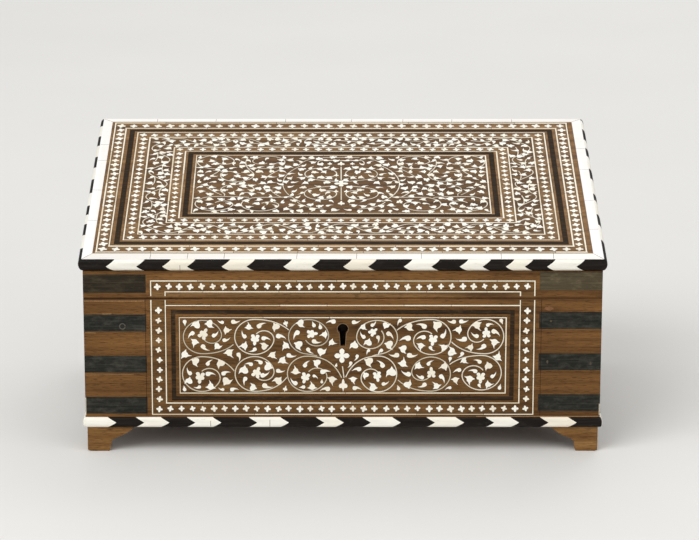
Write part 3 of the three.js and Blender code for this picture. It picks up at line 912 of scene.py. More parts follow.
@dataclass
class Leafwork:
    """Bone leaves, stems and lines let into dark mastic on one face."""

    name: str
    plane: Plane
    seed: int
    rim: float = 0.28
    stem_width: float = 0.8
    line_width: float = 0.76
    vine_share: float = 0.45
    joint: float = 0.3

    def __post_init__(self) -> None:
        """Starts the pieces that the leafwork is made of."""
        self.chance = random.Random(self.seed)
        self.mastic = Inlay(f"{self.name}_mastic", self.plane, MASTIC, depth=MARK_DEPTH)
        self.stems, self.lines, self.bone = (
            Inlay(f"{self.name}_{part}", self.plane, finish, Slot.BONE)
            for part, finish in (("stems", STEM_BONE), ("lines", LINE_BONE), ("bone", BONE))
        )

    def leaf(self, kind: Leaf, place: Point, heading: float, size: float, flip: bool = False) -> None:
        """Lays one leaf.

        Args:
            kind: Its shape.
            place: Its middle.
            heading: Where its tip points, in radians.
            size: Its length.
            flip: True to turn it over.
        """
        if kind is Leaf.IVY and self.chance.random() < self.vine_share:
            kind = Leaf.VINE
        cos, sin = math.cos(heading), math.sin(heading)
        hand = -1 if flip else 1
        for inlay, grow, low, high in (
            (self.mastic, 1 + 2 * self.rim / size, 0.036, 0.044), (self.bone, 1.0, 0.070, 0.100),
        ):
            reach = size * grow
            outline = [
                (
                    place[0] + reach * (x * cos - hand * y * sin),
                    place[1] + reach * (x * sin + hand * y * cos),
                )
                for x, y in LEAF_OUTLINES[kind]
            ]
            inlay.plate(outline, self.chance.uniform(low, high))

    def upright(self, kind: Leaf, place: Point, size: float) -> None:
        """Lays one leaf whose tip points up."""
        self.leaf(kind, place, math.pi / 2, size)

    def stem(self, line: Line, share: float = 1.0) -> None:
        """Lays one stem.

        Args:
            line: Its middle.
            share: The share of the usual width.
        """
        width = self.stem_width * share
        self.mastic.ribbon(line, width + 2 * self.rim, self.chance.uniform(0.028, 0.034))
        self.stems.ribbon(line, width, self.chance.uniform(0.054, 0.062))

    def flower_row(self, start: Point, end: Point, count: int, size: float) -> None:
        """Lays a row of small four-petalled flowers.

        Args:
            start: The first flower's place.
            end: The last flower's place.
            count: How many there are.
            size: Their rough width.
        """
        for index in range(count):
            u, v = between(start, end, index / (count - 1))
            place = (u + self.chance.uniform(-0.45, 0.45), v + self.chance.uniform(-0.3, 0.3))
            tilt = self.chance.uniform(-0.3, 0.3)
            self.leaf(Leaf.QUATREFOIL, place, tilt, size * self.chance.uniform(0.88, 1.1))

    def flower_frame(
        self, corners: Line, across: int, down: int, size: float, gap: float | None = None
    ) -> None:
        """Lays a frame of flowers.

        Args:
            corners: The rectangle that they lie on.
            across: How many lie along its foot and its top.
            down: How many lie along each side, between those rows.
            size: Their rough width.
            gap: How far the sides' ends lie from those rows, or None for an even pitch.
        """
        (left, low), _, (right, high), *_ = corners
        for v in (low, high):
            self.flower_row((left, v), (right, v), across, size)
        step = gap or (high - low) / (down + 1)
        for u in (left, right):
            self.flower_row((u, low + step), (u, high - step), down, size)

    def stringing(self, corners: Line, share: float = 1.0) -> None:
        """Lays a straight or cornered bone line in short lengths with hairline joints.

        Args:
            corners: The line's corners in order.
            share: The share of the usual width.
        """
        width = self.line_width * share
        for start, end in zip(corners, corners[1:]):
            length = math.dist(start, end)
            along = ((end[0] - start[0]) / length, (end[1] - start[1]) / length)
            begun = -width / 2
            while begun < length:
                stop = begun + self.chance.uniform(26, 62)
                if stop > length - 10:
                    stop = length + width / 2
                line = [
                    (start[0] + along[0] * s, start[1] + along[1] * s)
                    for s in (begun + self.joint / 2, stop - self.joint / 2)
                ]
                lift = self.chance.uniform(0.064, 0.072)
                self.lines.ribbon(line, width * self.chance.uniform(0.85, 1.15), lift)
                begun = stop
            self.mastic.ribbon([start, end], width + 2 * self.rim, self.chance.uniform(0.046, 0.050))

    def dress(self) -> None:
        """Makes the pieces that have any plates."""
        for inlay in (self.mastic, self.stems, self.lines, self.bone):
            if inlay.faces:
                inlay.build()


LEAF_MIX = (
    (0.56, Leaf.IVY, 0.94, 1.14), (0.9, Leaf.COMMA, 0.96, 1.14), (math.inf, Leaf.BLOSSOM, 0.9, 1.05),
)


@dataclass(frozen=True)
class LeafScatter:
    """Fills a region evenly with small leaves that clear the stems."""

    spacing: float
    clearance: float
    size: float
    seed: int
    grid: float = 0.9

    def cell(self, place: Point) -> tuple[int, int]:
        """The cell that a place lies in."""
        return (math.floor(place[0] / self.spacing), math.floor(place[1] / self.spacing))

    def places(
        self, inside: Callable[[Point], bool], low: Point, high: Point, stems: StemField, taken: Line = ()
    ) -> list[Point]:
        """Chooses the leaves' places.

        Args:
            inside: Tells whether a place is in the region.
            low: The region's lowest corner.
            high: The region's highest corner.
            stems: What the leaves keep clear of.
            taken: Places that are already filled.

        Returns:
            The new places.
        """
        chance = random.Random(self.seed)
        columns, rows = (int((high[axis] - low[axis]) / self.grid) for axis in (0, 1))
        tries = [
            (low[0] + self.grid * (i + chance.uniform(0, 1)), low[1] + self.grid * (j + chance.uniform(0, 1)))
            for i in range(columns)
            for j in range(rows)
        ]
        tries = [place for place in tries if inside(place) and stems.clearance(place) > self.clearance]
        chance.shuffle(tries)
        cells: dict[tuple[int, int], list[Point]] = {}
        for place in taken:
            cells.setdefault(self.cell(place), []).append(place)
        chosen: list[Point] = []
        for share in (1.0, 0.93, 0.86):
            for place in tries:
                column, row = self.cell(place)
                near = [
                    other
                    for i in range(column - 1, column + 2)
                    for j in range(row - 1, row + 2)
                    for other in cells.get((i, j), ())
                ]
                if all(math.dist(place, other) >= self.spacing * share for other in near):
                    cells.setdefault((column, row), []).append(place)
                    chosen.append(place)
        return chosen

    def fill(self, work: Leafwork, places: Line, stems: StemField) -> None:
        """Lays leaves of mixed kinds.

        Args:
            work: What the leaves are laid in.
            places: Where they go.
            stems: What they grow from.
        """
        for place in places:
            heading = stems.heading(place) + work.chance.uniform(-0.5, 0.5)
            draw = work.chance.random()
            flip = work.chance.random() < 0.5
            kind, least, most = next(mix[1:] for mix in LEAF_MIX if draw < mix[0])
            work.leaf(kind, place, heading, self.size * work.chance.uniform(least, most), flip)


def sprigs(*rows: tuple) -> tuple[Sprig, ...]:
    """Leaves from rows of kind, offsets, heading and size, with True where flipped."""
    return tuple(Sprig(*row) for row in rows)


IVY, COMMA, BUD = Leaf.IVY, Leaf.COMMA, Leaf.BUD
FLEUR, BLOSSOM = Leaf.FLEUR, Leaf.BLOSSOM
# Both tables run along the upper row and then along the lower one.
LEFT_SCROLLS = (
    Scroll((-100.2, 85.8), (13.8, 12.4), 270, -255, lead=(22, -5.5), hook_sweep=160, sprigs=sprigs(
        (BUD, -12.6, 10.4, -80, 4.8), (IVY, -5, 9, 170, 6.8), (IVY, 5.4, 9.4, -70, 6.6),
        (COMMA, 13, 11.2, 165, 5, True), (COMMA, -8.4, 1.8, 215, 6.6), (BLOSSOM, 0.7, 2.4, 60, 8.2),
        (COMMA, 9.2, 2, 35, 6.6), (IVY, 18, 5, 5, 6.6), (IVY, -6.1, -4.6, -110, 6.8),
        (COMMA, 16.9, -2, 10, 6), (COMMA, 1.5, -8.2, -38, 7.2), (IVY, 11, -6.8, -15, 6),
        (IVY, -11.8, -13.4, -15, 7.4), (IVY, 19.3, -12.6, -60, 7.4), (COMMA, 26, -14.6, -75, 6.6, True),
    )),
    Scroll((-63.1, 85.9), (14.2, 13), 90, 253, lead=(24.5, 5.2), hook_sweep=158, sprigs=sprigs(
        (COMMA, -13.5, 11.2, 2, 6.8), (IVY, -4, 8.3, 88, 6.2), (COMMA, 4.7, 9, 38, 7.2, True),
        (IVY, 15.1, 7, -128, 6.6), (FLEUR, 22.4, 9.9, -68, 5.4), (COMMA, -7.9, 1.6, 122, 6.6, True),
        (BLOSSOM, 0.3, -1.9, -90, 7.8), (COMMA, 8.1, -1.1, -8, 7, True),
        (COMMA, 18.9, 0.3, -12, 7.8, True), (IVY, -8.3, -6.6, 182, 7.2), (IVY, 6.5, -6.5, 130, 6.2),
        (COMMA, -1.1, -9.9, 212, 6.2, True), (IVY, 21.5, -7.2, -135, 7), (IVY, 13.3, -14.3, -45, 7),
        (COMMA, 26.1, -14.1, -12, 7.4), (IVY, 20.7, -18.2, -38, 7.2),
    )),
    Scroll((-24.4, 86), (14.4, 12.8), 262, -252, lead=(6, -14.2), hook=0.6, sprigs=sprigs(
        (IVY, -5.4, 9.6, -72, 6.8), (BUD, 3.4, 9.4, 110, 5), (BUD, 8.2, 8, 105, 4.8),
        (COMMA, 16, 11.3, 182, 7.2), (COMMA, -9.2, 1.7, 228, 7.4), (BLOSSOM, 2.4, 2.2, 0, 7.6),
        (IVY, 10.5, 1.7, 188, 6.4), (COMMA, 5.4, -3.8, -22, 7), (IVY, -7, -6.6, -95, 7.2),
        (COMMA, 0.6, -10.6, -45, 6.6), (IVY, 17.3, -4.6, -20, 6.2), (IVY, 9.6, -10.8, 8, 7.2),
    )),
    Scroll((-101, 58.2), (13.9, 13), 90, 240, lead=(23.2, 2.3), hook=0.55, sprigs=sprigs(
        (IVY, -4.3, 8.8, -90, 6.6), (COMMA, 5.2, 8.8, 52, 6, True), (IVY, 13.2, 7.4, -130, 6.8),
        (COMMA, -9.4, 1.8, 122, 6.2, True), (BLOSSOM, -1.4, -2.6, -95, 8.6),
        (COMMA, 6.1, 0.2, 8, 7.4, True), (COMMA, 17, 1, 18, 6.8, True), (IVY, -9.8, -5.4, 186, 6.2),
        (IVY, 6.2, -8.2, 92, 7.2), (IVY, 18.2, -5.2, -8, 7.2), (BUD, -12.7, -10.6, 95, 4.8),
        (COMMA, -3.2, -9.9, 190, 5.4, True), (COMMA, 13.8, -11.3, 165, 4.8, True),
        (COMMA, 23, -11.3, 14, 6, True),
    )),
    Scroll((-63.1, 58.3), (14.1, 13), 270, -255, lead=(23, -2.5), hook_sweep=160, sprigs=sprigs(
        (IVY, -8.3, 2.5, 190, 7.2), (COMMA, -4.1, 7.5, 165, 6), (COMMA, 2.9, 9.3, 145, 6.4),
        (IVY, 9.3, 6.1, 92, 7.2), (BLOSSOM, 1.5, 1.1, 60, 8.2), (COMMA, 7.3, -0.5, 18, 7.4),
        (COMMA, 18.3, 2.1, -8, 6.8), (COMMA, -7.3, -5.1, -105, 6.8), (IVY, -1.6, -9.6, 92, 6.2),
        (COMMA, 8.8, -9.4, -18, 7.8), (IVY, 16.1, -5.1, 168, 7.2), (FLEUR, 21.8, -11.1, 75, 5),
    )),
    Scroll((-25.3, 58.4), (14.4, 13.2), 90, 250, lead=(24.5, -3), sprigs=sprigs(
        (IVY, -8.5, 2.9, 98, 7.2), (COMMA, -0.9, 7.6, 62, 6.4, True), (IVY, 6.9, 7.6, -100, 6.4),
        (COMMA, 12.7, 1.8, 14, 8, True), (BLOSSOM, -1.7, -3, -110, 7.8),
        (COMMA, 5.7, -2.1, -22, 4.8, True), (BUD, 10.3, -5.4, 85, 3.6),
        (COMMA, -10, -6, 142, 7.2, True), (IVY, 17.5, -5.4, -95, 7.2), (IVY, 3.3, -8.8, 96, 7.2),
        (BUD, -3.9, -10, 185, 4.6), (COMMA, 12.7, -11.4, 183, 7.4), (BUD, 20.7, 6.8, 80, 3.2),
    )),
)
MIDDLE_SCROLLS = (LEFT_SCROLLS[1], LEFT_SCROLLS[4])
RIGHT_SCROLLS = (
    Scroll((24.5, 85.6), (14.6, 12.6), -82, 262, lead=(-3.5, -14), hook=0.67, hook_sweep=216, sprigs=sprigs(
        (COMMA, -15.1, 11.3, 5, 6.6), (IVY, -9.5, 7, -45, 5.8), (COMMA, -2.4, 9.9, 40, 5.4),
        (BLOSSOM, -2.8, 4.1, 45, 6.8), (IVY, 6.8, 9.1, 0, 5.6), (COMMA, 9.5, 1.6, -35, 7.2, True),
        (COMMA, -10.5, 1.4, 132, 6.2, True), (IVY, -6.8, -4.1, 185, 6.4),
        (COMMA, 0.9, -1.3, -85, 5.8, True), (IVY, 9, -6, -85, 7.4), (COMMA, -6.6, -10.8, -125, 5),
        (COMMA, 2.2, -10.7, -135, 5.8), (IVY, -16.8, -6.2, 200, 6.8),
    )),
    Scroll((63.6, 85.8), (13.8, 13), 90, -240, lead=(-24.9, 5.1), hook=0.56, sprigs=sprigs(
        (COMMA, -23.4, 11.2, -130, 5.4), (IVY, -15.7, 7.2, -60, 7), (COMMA, -7.1, 8.7, 150, 7.8),
        (IVY, -8, -7.4, -95, 6.6), (COMMA, -7.6, -0.3, 185, 7), (COMMA, -19, -1.1, 190, 8.6),
        (IVY, -20.1, -9.3, -80, 6.6), (COMMA, -26.7, -13.6, 185, 7.4, True),
        (COMMA, -14, -13.8, -12, 7.8), (IVY, -20.1, -18.6, 80, 7.6), (IVY, 3.8, 8, -110, 7.8),
        (COMMA, 8.8, 2.2, 50, 7.4), (BLOSSOM, 0.9, -2.2, -95, 7.8), (COMMA, 0, -8.8, -50, 5.6),
        (IVY, 8, -7, 140, 6.6), (COMMA, 14.2, 11.4, 180, 6.8, True),
    )),
    Scroll((102, 86.2), (13.1, 12.8), -90, 250, lead=(-24.2, -4), hook_sweep=160, sprigs=sprigs(
        (IVY, -5.8, 7.4, -65, 8), (COMMA, 2.9, 8.9, 15, 5.6, True), (BLOSSOM, 0.6, 2.8, 95, 7.8),
        (COMMA, -7.7, 1, 160, 6.6, True), (COMMA, 7.5, 3, -25, 7.4, True), (IVY, 6.2, -5.3, -95, 7.2),
        (COMMA, -2.5, -8.2, -145, 7.4, True), (IVY, -11.5, -8, 180, 6),
        (COMMA, -16.9, -2.2, 190, 8, True), (IVY, -20.2, 5.1, 182, 7), (COMMA, -15.8, 11.2, -5, 6.6),
        (BUD, 11.5, 11, -70, 4.8), (IVY, 9.4, -14.4, 75, 7.4), (COMMA, -17.3, -13.8, -130, 5.8, True),
        (IVY, -24.2, -10.9, 95, 7.4),
    )),
    Scroll((25.5, 58.3), (13.2, 13.4), 90, -240, lead=(-23.4, -2.4), hook=0.52, hook_sweep=170, sprigs=sprigs(
        (IVY, -6.5, 8.6, -90, 7.2), (COMMA, 2, 7.7, 120, 7.6), (IVY, 8.8, 0.9, 200, 8),
        (COMMA, -15.5, 3.5, 185, 7.4), (BLOSSOM, -0.7, -1.9, -80, 7.6), (IVY, -9.2, -1.4, -115, 5.2),
        (COMMA, 5.1, -7.1, 10, 6), (IVY, -4.2, -9.5, 100, 6.6), (IVY, -18, -5, -80, 6.4),
        (COMMA, -15.3, -10.7, -5, 7, True), (BUD, 14.4, -10.1, 110, 4.4),
    )),
    Scroll((63.2, 58.2), (14, 12.8), -90, 255, lead=(-23.6, -4.4), hook_sweep=160, sprigs=sprigs(
        (IVY, -8.2, 5.6, -20, 6.8), (COMMA, -0.8, 8.6, 50, 6, True), (IVY, 8.6, 5.6, 200, 7.2),
        (BLOSSOM, 0.3, 1, 90, 7.6), (COMMA, -7.8, -2.1, 165, 6.2, True),
        (COMMA, 8.4, -3.2, -55, 7.4, True), (COMMA, -5.9, -8.7, -150, 6.8, True),
        (IVY, 3.6, -8.1, 130, 6.8), (IVY, -16.3, -7.3, 40, 6.8), (COMMA, -17.8, 0.4, 160, 7.4, True),
        (COMMA, 12.6, -10.5, 190, 5), (BUD, 13.6, 10.8, -95, 4.4),
    )),
    Scroll((99.4, 59.2), (14.3, 12.9), 90, -248, lead=(-22.8, 6.2), hook=0.57, hook_sweep=170, sprigs=sprigs(
        (IVY, -12, 8.4, -40, 5.8), (COMMA, -2.6, 8.8, 145, 6.4), (IVY, 4.7, 4.6, -140, 6.6),
        (COMMA, -17.4, 1.7, 190, 6.6), (COMMA, -5.9, 1.5, 165, 6.6), (BLOSSOM, -0.5, -3.7, -95, 8),
        (COMMA, 8.9, -1.8, 45, 6.2), (IVY, -8.6, -5.8, -95, 7.8), (IVY, 5.9, -8.9, 0, 6.4),
        (BUD, -1.1, -10, -60, 4.2), (IVY, -18.4, -6.2, -75, 6.4), (BUD, 13.4, -10.4, 80, 4.8),
    )),
)


def open_frame(half_width: float, foot: float, top: float) -> list[Point]:
    """A line up one side, across and down the other."""
    return [(-half_width, foot), (-half_width, top), (half_width, top), (half_width, foot)]


@dataclass
class WallOrnament:
    """The framed scroll panel of one wall, between its corner bands.

    Heights are above the floor. Insets are from the wall's corner edges. The
    axis is where the panel's left half is mirrored, unless its right half has
    scrolls of its own.
    """

    side: Side
    half_width: float
    scrolls: Sequence[Scroll]
    seed: int
    axis: float = 0.0
    right_scrolls: Sequence[Scroll] = ()
    line_inset: float = 48.2
    flower_inset: float = 53.5
    inner_line_inset: float = 58.4
    ebony_inset: float = 62.3
    panel_inset: float = 68.3
    ebony_width: float = 3.2
    wall_line_top: float = 113.0
    top_line: float = 109.2
    ebony_top: float = 106.0
    flower_top: float = 105.4
    panel_top: float = 100.2
    panel_bottom: float = 44.0
    ebony_bottom: float = 38.4
    lower_line: float = 36.5
    flower_height: float = 32.2
    flower_pitch: float = 7.75
    column_gap: float = 7.2
    bottom_line: float = 28.0
    column_flowers: int = 10
    flower_size: float = 5.0
    middle_flower: float = 71.6
    middle_bud: float = 50.0

    def __post_init__(self) -> None:
        """Starts the leafwork on this wall's face."""
        self.name = f"wall_{self.side.value}"
        self.plane = wall_plane(self.side, Body.BOX)
        self.work = Leafwork(self.name, self.plane, self.seed)
        self.panel = self.framed(self.panel_inset, self.panel_bottom, self.panel_top)

    def framed(self, inset: float, low: float, high: float) -> list[Point]:
        """The closed rectangle at an inset, between two heights."""
        return rectangle(self.half_width - inset, low, high)

    def build(self) -> None:
        """Makes the whole ornament of the wall."""
        self.lay_grounds()
        self.lay_frame()
        self.lay_scrolls()
        self.lay_middle()
        self.work.dress()

    def lay_grounds(self) -> None:
        """Lays the darker grounds and the ebony frame round the panel."""
        ground, ebony = (GROUND_WOOD_X, EBONY_X) if self.side.across else (GROUND_WOOD_Y, EBONY_Y)
        outer = self.framed(self.line_inset, self.bottom_line, self.wall_line_top)
        inner = self.framed(self.inner_line_inset, self.lower_line, self.wall_line_top)
        lay_plates(
            Inlay(f"{self.name}_ground", self.plane, ground, depth=GROUND_DEPTH),
            [*self.panel_grounds(), *mitred(outer, inner, (0, 1, 3))],
        )
        width = self.ebony_width
        outer = self.framed(self.ebony_inset, self.ebony_bottom, self.ebony_top)
        inner = self.framed(self.ebony_inset + width, self.ebony_bottom + width, self.ebony_top - width)
        lay_plates(
            Inlay(f"{self.name}_ebony", self.plane, ebony, Slot.EBONY), mitred(outer, inner), EBONY_LIFT
        )

    def panel_grounds(self) -> list[list[Point]]:
        """The plates of the panel's ground."""
        return [self.panel[:4]]

    def lay_frame(self) -> None:
        """Lays the frame's bone lines, and flowers along its foot and up both sides."""
        outer, inner = self.half_width - self.line_inset, self.half_width - self.inner_line_inset
        self.work.stringing(open_frame(outer, self.wall_line_top, self.bottom_line))
        for u in (-inner, inner):
            self.work.stringing([(u, self.wall_line_top), (u, self.lower_line)])
        for v in (self.lower_line, self.top_line):
            self.work.stringing([(-inner, v), (inner, v)])
        self.work.stringing(self.panel)
        column, foot = self.half_width - self.flower_inset, self.flower_height
        across = round(2 * column / self.flower_pitch) + 1
        self.work.flower_row((-column, foot), (column, foot), across, self.flower_size)
        for u in (-column, column):
            ends = (u, foot + self.column_gap), (u, self.flower_top)
            self.work.flower_row(*ends, self.column_flowers, self.flower_size)

    def lay_scrolls(self) -> None:
        """Lays the scrolls of both halves with their leaves."""
        rights = self.right_scrolls or [scroll.mirrored(self.axis) for scroll in self.scrolls]
        for scroll in (*self.scrolls, *rights):
            self.work.stem(scroll.stem())
            for sprig in scroll.sprigs:
                place = (scroll.centre[0] + sprig.du, scroll.centre[1] + sprig.dv)
                heading = math.radians(sprig.heading + self.work.chance.uniform(-6, 6))
                size = sprig.size * self.work.chance.uniform(0.96, 1.04)
                self.work.leaf(sprig.kind, place, heading, size, sprig.flip)

    def lay_middle(self) -> None:
        """Lays the flower in the middle, the bud on its stem and what fills the back's keyhole place."""
        flower, bud = self.middle_flower, self.middle_bud
        self.work.upright(Leaf.CROSS, (self.axis - 1.2, flower + 0.3), 11.0)
        self.work.upright(Leaf.FLEUR, (self.axis - 0.3, bud), 9.8)
        self.work.stem(resample([(self.axis + 0.3, bud + 5.5), (self.axis - 0.8, flower - 7.6)]))
        for du, drop in ((9.2, 1.2), (4.6, 6.4)):
            self.work.leaf(Leaf.COMMA, (self.axis + du, flower - drop), math.radians(-112), 5.4, True)
        if self.side is Side.BACK:
            self.work.leaf(Leaf.BLOSSOM, (self.axis, 87.5), -math.pi / 2, 9.6)
            for sign in (-1, 1):
                self.work.leaf(Leaf.COMMA, (sign * 5.4, 94.6), math.radians(90 - 40 * sign), 5.6, sign > 0)


@dataclass
class FrontOrnament(WallOrnament):
    """The front wall's ornament, whose panel leaves the keyhole open."""

    keyhole_centre: float = 91.8
    keyhole_radius: float = 3.8
    keyhole_foot: float = 79.0
    slot_top_width: float = 4.6
    slot_foot_width: float = 3.3
    margin: float = 0.25
    steps: int = 12

    def keyhole_half(self) -> list[Point]:
        """The right half of the keyhole's outline, from its top down to its foot."""
        radius = self.keyhole_radius + self.margin
        turn = math.pi / 2 + math.acos((self.slot_top_width / 2 + self.margin) / radius)
        half = [
            on_ellipse((0.0, self.keyhole_centre), (radius, radius), math.pi / 2 - turn * step / self.steps)
            for step in range(self.steps + 1)
        ]
        foot = self.keyhole_foot - self.margin
        return [*half, (self.slot_foot_width / 2 + self.margin, foot), (0.0, foot)]

    def lay_middle(self) -> None:
        """Lays the middle of the panel and the rubbed rim of the keyhole."""
        super().lay_middle()
        right = self.keyhole_half()
        outline = resample([*right, *((-u, v) for u, v in reversed(right))], 0.5)
        lay_strips(Inlay("keyhole_rim", self.plane, KEYHOLE_RIM, depth=0.1), [(outline, 0.42)], 0.04)

    def panel_grounds(self) -> list[list[Point]]:
        """A left and a right plate round the keyhole."""
        (left, low), _, (right, high), *_ = self.panel
        half = self.keyhole_half()
        return [
            [(0.0, low), (end, low), (end, high), (0.0, high), *((sign * u, v) for u, v in half)]
            for end, sign in ((right, 1), (left, -1))
        ]


@dataclass
class FrontRailOrnament:
    """The row of flowers between two lines on the lid's front rail."""

    seed: int
    half_line: float = 136.8
    half_inner: float = 126.6
    upper_line: float = 127.3
    lower_line: float = 119.3
    seam_line: float = 116.4
    edge_foot: float = 115.3
    flower_height: float = 123.2
    flower_count: int = 35
    flower_size: float = 4.8

    def build(self) -> None:
        """Makes the rail's ornament."""
        plane = wall_plane(Side.FRONT, Body.LID)
        for name, finish, low, high in (
            ("rail_front_ground", GROUND_WOOD_X, self.lower_line, self.upper_line),
            ("rail_front_edge", RAIL_EDGE_WOOD, self.edge_foot, self.lower_line),
        ):
            lay_plates(
                Inlay(name, plane, finish, depth=GROUND_DEPTH), [rectangle(self.half_line, low, high)[:4]]
            )
        work = Leafwork("rail_front", plane, self.seed)
        work.stringing(open_frame(self.half_line, self.seam_line, self.upper_line))
        work.stringing(open_frame(self.half_inner, self.seam_line, self.lower_line))
        column, row = (self.half_line + self.half_inner) / 2, self.flower_height
        work.flower_row((-column, row), (column, row), self.flower_count, self.flower_size)
        work.dress()


@dataclass(frozen=True)
class Inset:
    """How far a frame lies inside the lid's edges, in millimetres."""

    side: float
    front: float
    back: float


@dataclass
class LidTop:
    """The sloping face of the lid, with v from its front edge up the slope."""

    slope_degrees: float = 12.07
    border_thickness: float = 1.2

    def __post_init__(self) -> None:
        """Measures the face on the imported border."""
        self.slope = math.radians(self.slope_degrees)
        cos, sin = math.cos(self.slope), math.sin(self.slope)
        low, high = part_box("bone_border_front")
        self.width = (high.x - low.x) / MM
        edge = Vector((0, low.y, low.z + self.border_thickness * MM * cos))
        self.plane = Plane(edge, Vector((1, 0, 0)), Vector((0, cos, sin)), Body.LID)
        low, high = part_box("bone_border_left")
        self.length = (high.y - low.y) / MM / cos - self.border_thickness * math.tan(self.slope)


LID_SCROLLS = (
    Scroll((-93.5, 91.0), (14.0, 12.0), 90, 255, (25.5, 10.5)),
    Scroll((-59.5, 90.0), (14.0, 11.6), 90, 250, (17.5, 12.0)),
    Scroll((-77.0, 114.5), (12.5, 9.5), 215, -215, (-9.5, -10.0), hook_sweep=120),
    Scroll((-94.5, 163.5), (14.0, 12.0), 270, -250, (-2.5, -23.5)),
    Scroll((-78.0, 140.5), (12.5, 11.5), 30, -215, (7.5, 31.0), hook_sweep=120),
    Scroll((-55.0, 163.0), (12.5, 11.0), 270, 245, (-12.0, -8.5)),
    Scroll((-15.2, 142.3), (12.0, 10.5), 255, -250, (11.0, -13.0), hook_sweep=120),
    Scroll((-15.4, 108.2), (12.0, 10.5), 105, 250, (11.0, 13.0), hook_sweep=120),
)
LID_ARCS = (
    ((-57.0, 132.0), (-55.0, 142.0), (-42.5, 153.0)),
    ((-54.0, 120.0), (-52.5, 110.0), (-44.0, 101.5)),
    ((-32.5, 94.0), (-28.0, 84.0), (-13.0, 81.5)),
    ((-32.5, 157.0), (-28.0, 168.0), (-18.0, 171.0)),
    ((-100.0, 118.5), (-95.0, 112.0), (-88.5, 105.5)),
    ((-17.5, 160.5), (-17.5, 166.5), (-14.0, 166.5)),
)


